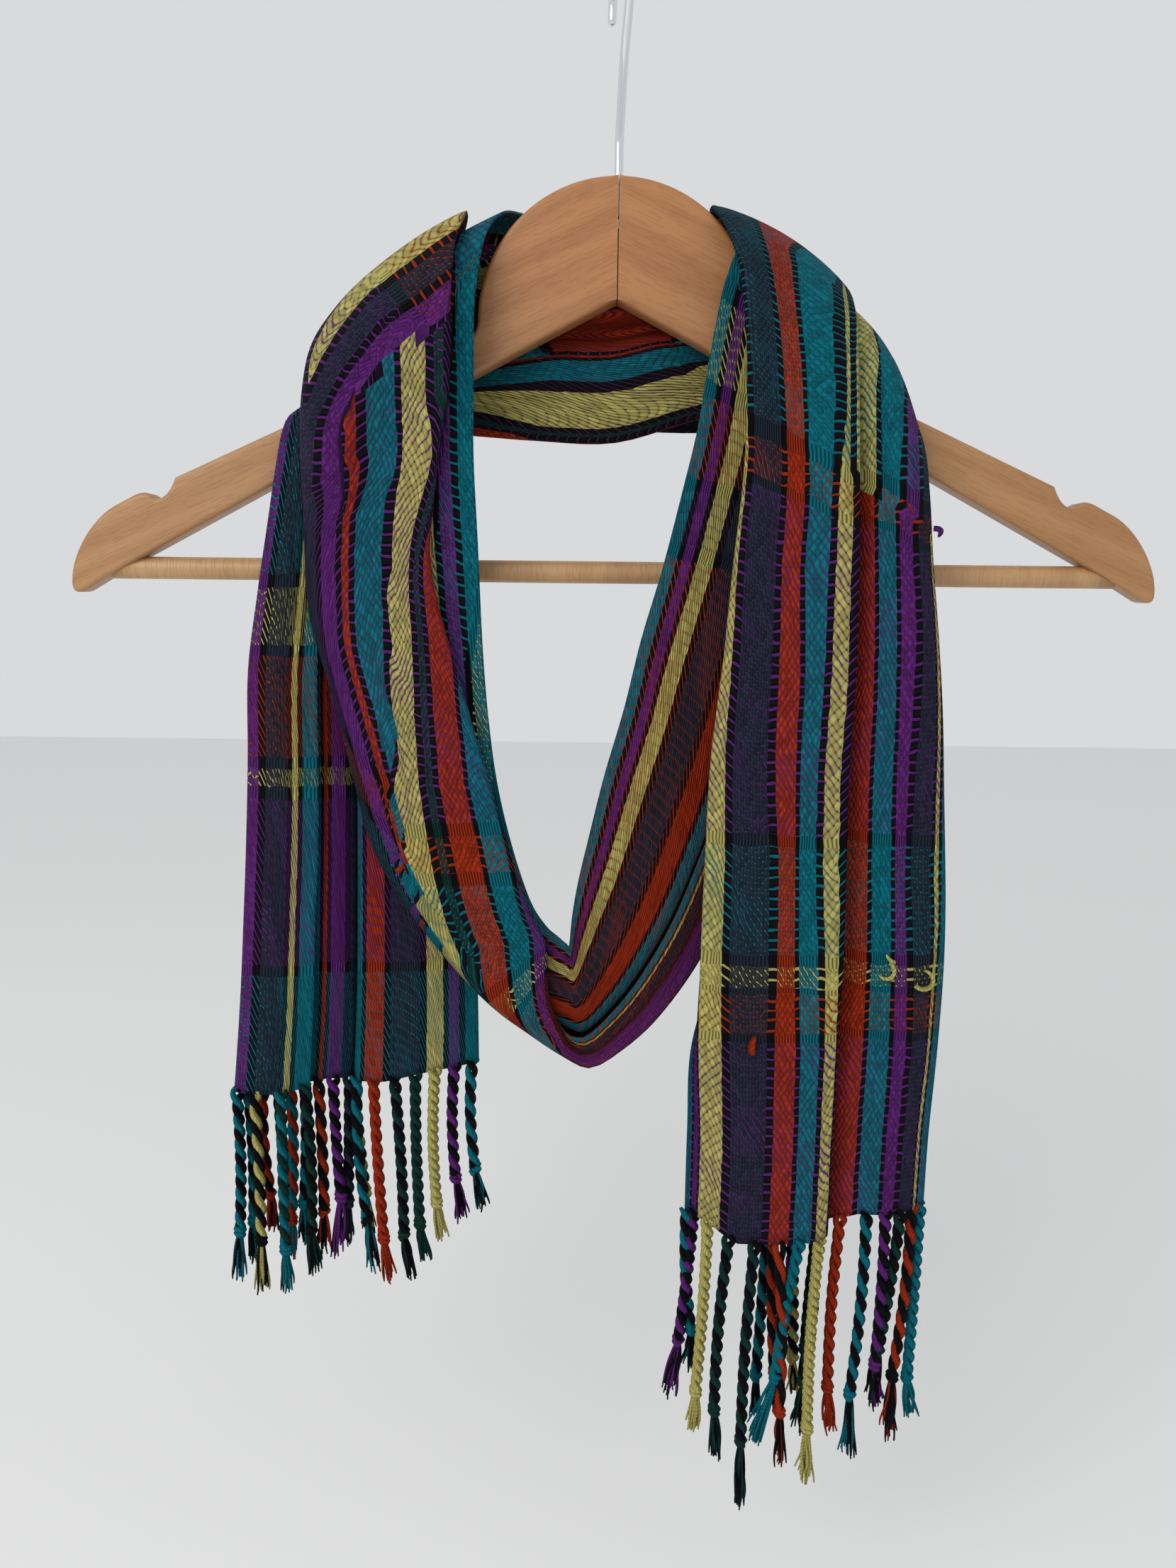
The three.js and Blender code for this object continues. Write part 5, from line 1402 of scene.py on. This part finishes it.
socket = HEAD_CENTRE + HEAD_RADIUS - HOOK_SOCKET
hook_centre = WIRE_RADIUS - HOOK_RADIUS
round_part = np.radians(np.linspace(-42, 184, 13))
shank = np.array([(0, socket), (0, socket + 12), (0, socket + 24), (1.2, socket + 31),
                  (HOOK_RADIUS * 0.42, hook_centre - HOOK_RADIUS * 1.18)])
circle = np.stack([HOOK_RADIUS * np.cos(round_part),
                   hook_centre + HOOK_RADIUS * np.sin(round_part)], axis=1)
in_plane = np.concatenate([shank, circle])
fine = through_lips(in_plane, np.linspace(0, len(in_plane) - 1, WIRE_STEPS))
hook_path = np.stack([fine[:, 0] * math.cos(HOOK_TURN), -fine[:, 0] * math.sin(HOOK_TURN),
                      fine[:, 1]], axis=1)[None]
radius = np.full(WIRE_STEPS, WIRE_RADIUS)
radius[-ROUND_STEPS:] *= np.sqrt(1 - np.linspace(0, 0.94, ROUND_STEPS) ** 2)
plane_normal = (math.sin(HOOK_TURN), math.cos(HOOK_TURN), 0)
hook = make_piece("wire_hook", *tubes(hook_path, radius, WIRE_SIDES, plane_normal))

# %% [markdown]
# ## Wood and metal
# Lacquered beech or lotus wood is honey coloured, with long even grain along the board and short
# fine pores. The grain follows each arm's own direction, which the mesh carries as its surface
# coordinates. The head is a little redder and darker. The lacquer is satin.

# %% A group for the grain, and the finishes of the hanger
grain_group, taken, given = new_group(
    "wood grain",
    [("Place", VECTOR, None), ("Light", COLOUR, None), ("Dark", COLOUR, None),
     ("Band", FLOAT, 150.0)],
    [("Color", COLOUR), ("Height", FLOAT)])
w = grain_group
board_along, board_over, _ = split(w, taken.outputs[0])


def stretched_noise(tree, along, across, detail):
    """Noise at `along` features a metre on the board's length and `across` over its width."""
    place = pair(tree, calc(tree, "MULTIPLY", board_along, along),
                 calc(tree, "MULTIPLY", board_over, across))
    return noise(tree, place.outputs[0], 1.0, detail)


streak = between(w, stretched_noise(w, 7.0, taken.outputs[3], 3.0), 0.35, 0.68)
pore = between(w, stretched_noise(w, 90.0, 1600.0, 2.0), 0.56, 0.7)
wood_colour = blend(w, streak, taken.outputs[1], taken.outputs[2])
deeper = times(w, wood_colour, (0.86, 0.8, 0.72))
feed(w, given.inputs["Color"], blend(w, calc(w, "MULTIPLY", pore, 0.5), wood_colour, deeper))
feed(w, given.inputs["Height"], calc(w, "SUBTRACT", 1.0, pore))


HEAD_FADE = (-0.19, -0.115)               # heights between which the head turns redder
HEAD_RED = (1.0, 0.84, 0.74)


def wood(name, light, dark, band, redden):
    """Satin lacquered wood. With `redden` its colour turns redder towards the head."""
    material, tree, shader = new_material(
        name, Roughness=0.42, Coat_Weight=0.15, Coat_Roughness=0.3)
    grain = use_group(
        tree, grain_group, Place=surface_place(tree), Light=light, Dark=dark, Band=band)
    colour = grain.outputs["Color"]
    if redden:
        height = split(tree, put(tree, "ShaderNodeTexCoord").outputs["Object"])[2]
        head = between(tree, height, *HEAD_FADE)
        colour = blend(tree, head, colour, times(tree, colour, HEAD_RED))
    feed(tree, shader.inputs["Base Color"], colour)
    emboss(tree, shader, grain.outputs["Height"], 0.08 * MM)
    return material


board_wood = wood("honey lacquered wood", (0.44, 0.225, 0.088), (0.37, 0.175, 0.062), 120.0,
                  redden=True)
rod_wood = wood("turned bar wood", (0.50, 0.29, 0.13), (0.42, 0.23, 0.095), 60.0, redden=False)
wire_metal, _, _ = new_material(
    "polished hook wire", Base_Color=(0.78, 0.79, 0.81, 1.0), Metallic=1.0, Roughness=0.14)
for piece, material in ((right_arm, board_wood), (left_arm, board_wood), (bar, rod_wood),
                        (hook, wire_metal)):
    piece.data.materials.append(material)
print("hanger finished")

# %% [markdown]
# ## Floor and light
# A plain pale floor lies below the fringe. The light is that of a bright room: a pale world all
# round, and one large soft lamp from the upper left in front, which shades the folds.

# %% Floor, world and lamp
FLOOR_HEIGHT, FLOOR_HALF = -0.70, 3.0
WORLD_COLOUR, WORLD_STRENGTH = (0.93, 0.95, 0.97, 1.0), 0.74
LAMP_SIZE, LAMP_POWER, LAMP_COLOUR = 1.2, 14.0, (1.0, 0.97, 0.93)
LAMP_PLACE, LAMP_AIM = Vector((-0.9, -1.3, 0.6)), Vector((0, 0, -0.28))

corner = np.array([(-1, -1), (1, -1), (1, 1), (-1, 1)]) * FLOOR_HALF
floor_mesh = bpy.data.meshes.new("floor")
floor_mesh.from_pydata([(x, y, FLOOR_HEIGHT) for x, y in corner.tolist()], [], [(0, 1, 2, 3)])
floor = bpy.data.objects.new("floor", floor_mesh)
bpy.context.collection.objects.link(floor)
floor_material, _, _ = new_material(
    "pale floor", Base_Color=(0.85, 0.85, 0.84, 1.0), Roughness=0.9)
floor_mesh.materials.append(floor_material)

world = bpy.data.worlds.new("pale room")
world.use_nodes = True
background = world.node_tree.nodes["Background"]
background.inputs["Color"].default_value = WORLD_COLOUR
background.inputs["Strength"].default_value = WORLD_STRENGTH
bpy.context.scene.world = world

lamp_data = bpy.data.lights.new("soft lamp", "AREA")
lamp_data.size, lamp_data.energy, lamp_data.color = LAMP_SIZE, LAMP_POWER, LAMP_COLOUR
lamp = bpy.data.objects.new("soft lamp", lamp_data)
lamp.location = LAMP_PLACE
lamp.rotation_euler = (LAMP_AIM - LAMP_PLACE).to_track_quat("-Z", "Y").to_euler()
bpy.context.collection.objects.link(lamp)
bpy.context.scene.view_settings.view_transform = "Standard"
print("floor at", FLOOR_HEIGHT)

# %% [markdown]
# ## Tie the pieces to the imported model
# Every piece rides on the one rigid body and takes the place of the solids that it refines.

STANDS_FOR = [
    (scarf, "cloth", ["tail_right", "neck_outer", "loop_left", "loop_right", "neck_inner",
                      "tail_left"]),
    (right_fringe, "fringe", ["fringe_right"]), (left_fringe, "fringe", ["fringe_left"]),
    (right_arm, "wood", ["hanger_right_arm"]), (left_arm, "wood", ["hanger_left_arm"]),
    (bar, "bar_wood", ["hanger_bar"]), (hook, "chrome", ["hanger_hook"])]
for piece, slot, nodes in STANDS_FOR:
    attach(piece, "root")
    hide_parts(*nodes)
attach(loose_piece, "root")
print("pieces", [piece.name for piece, slot, nodes in STANDS_FOR])
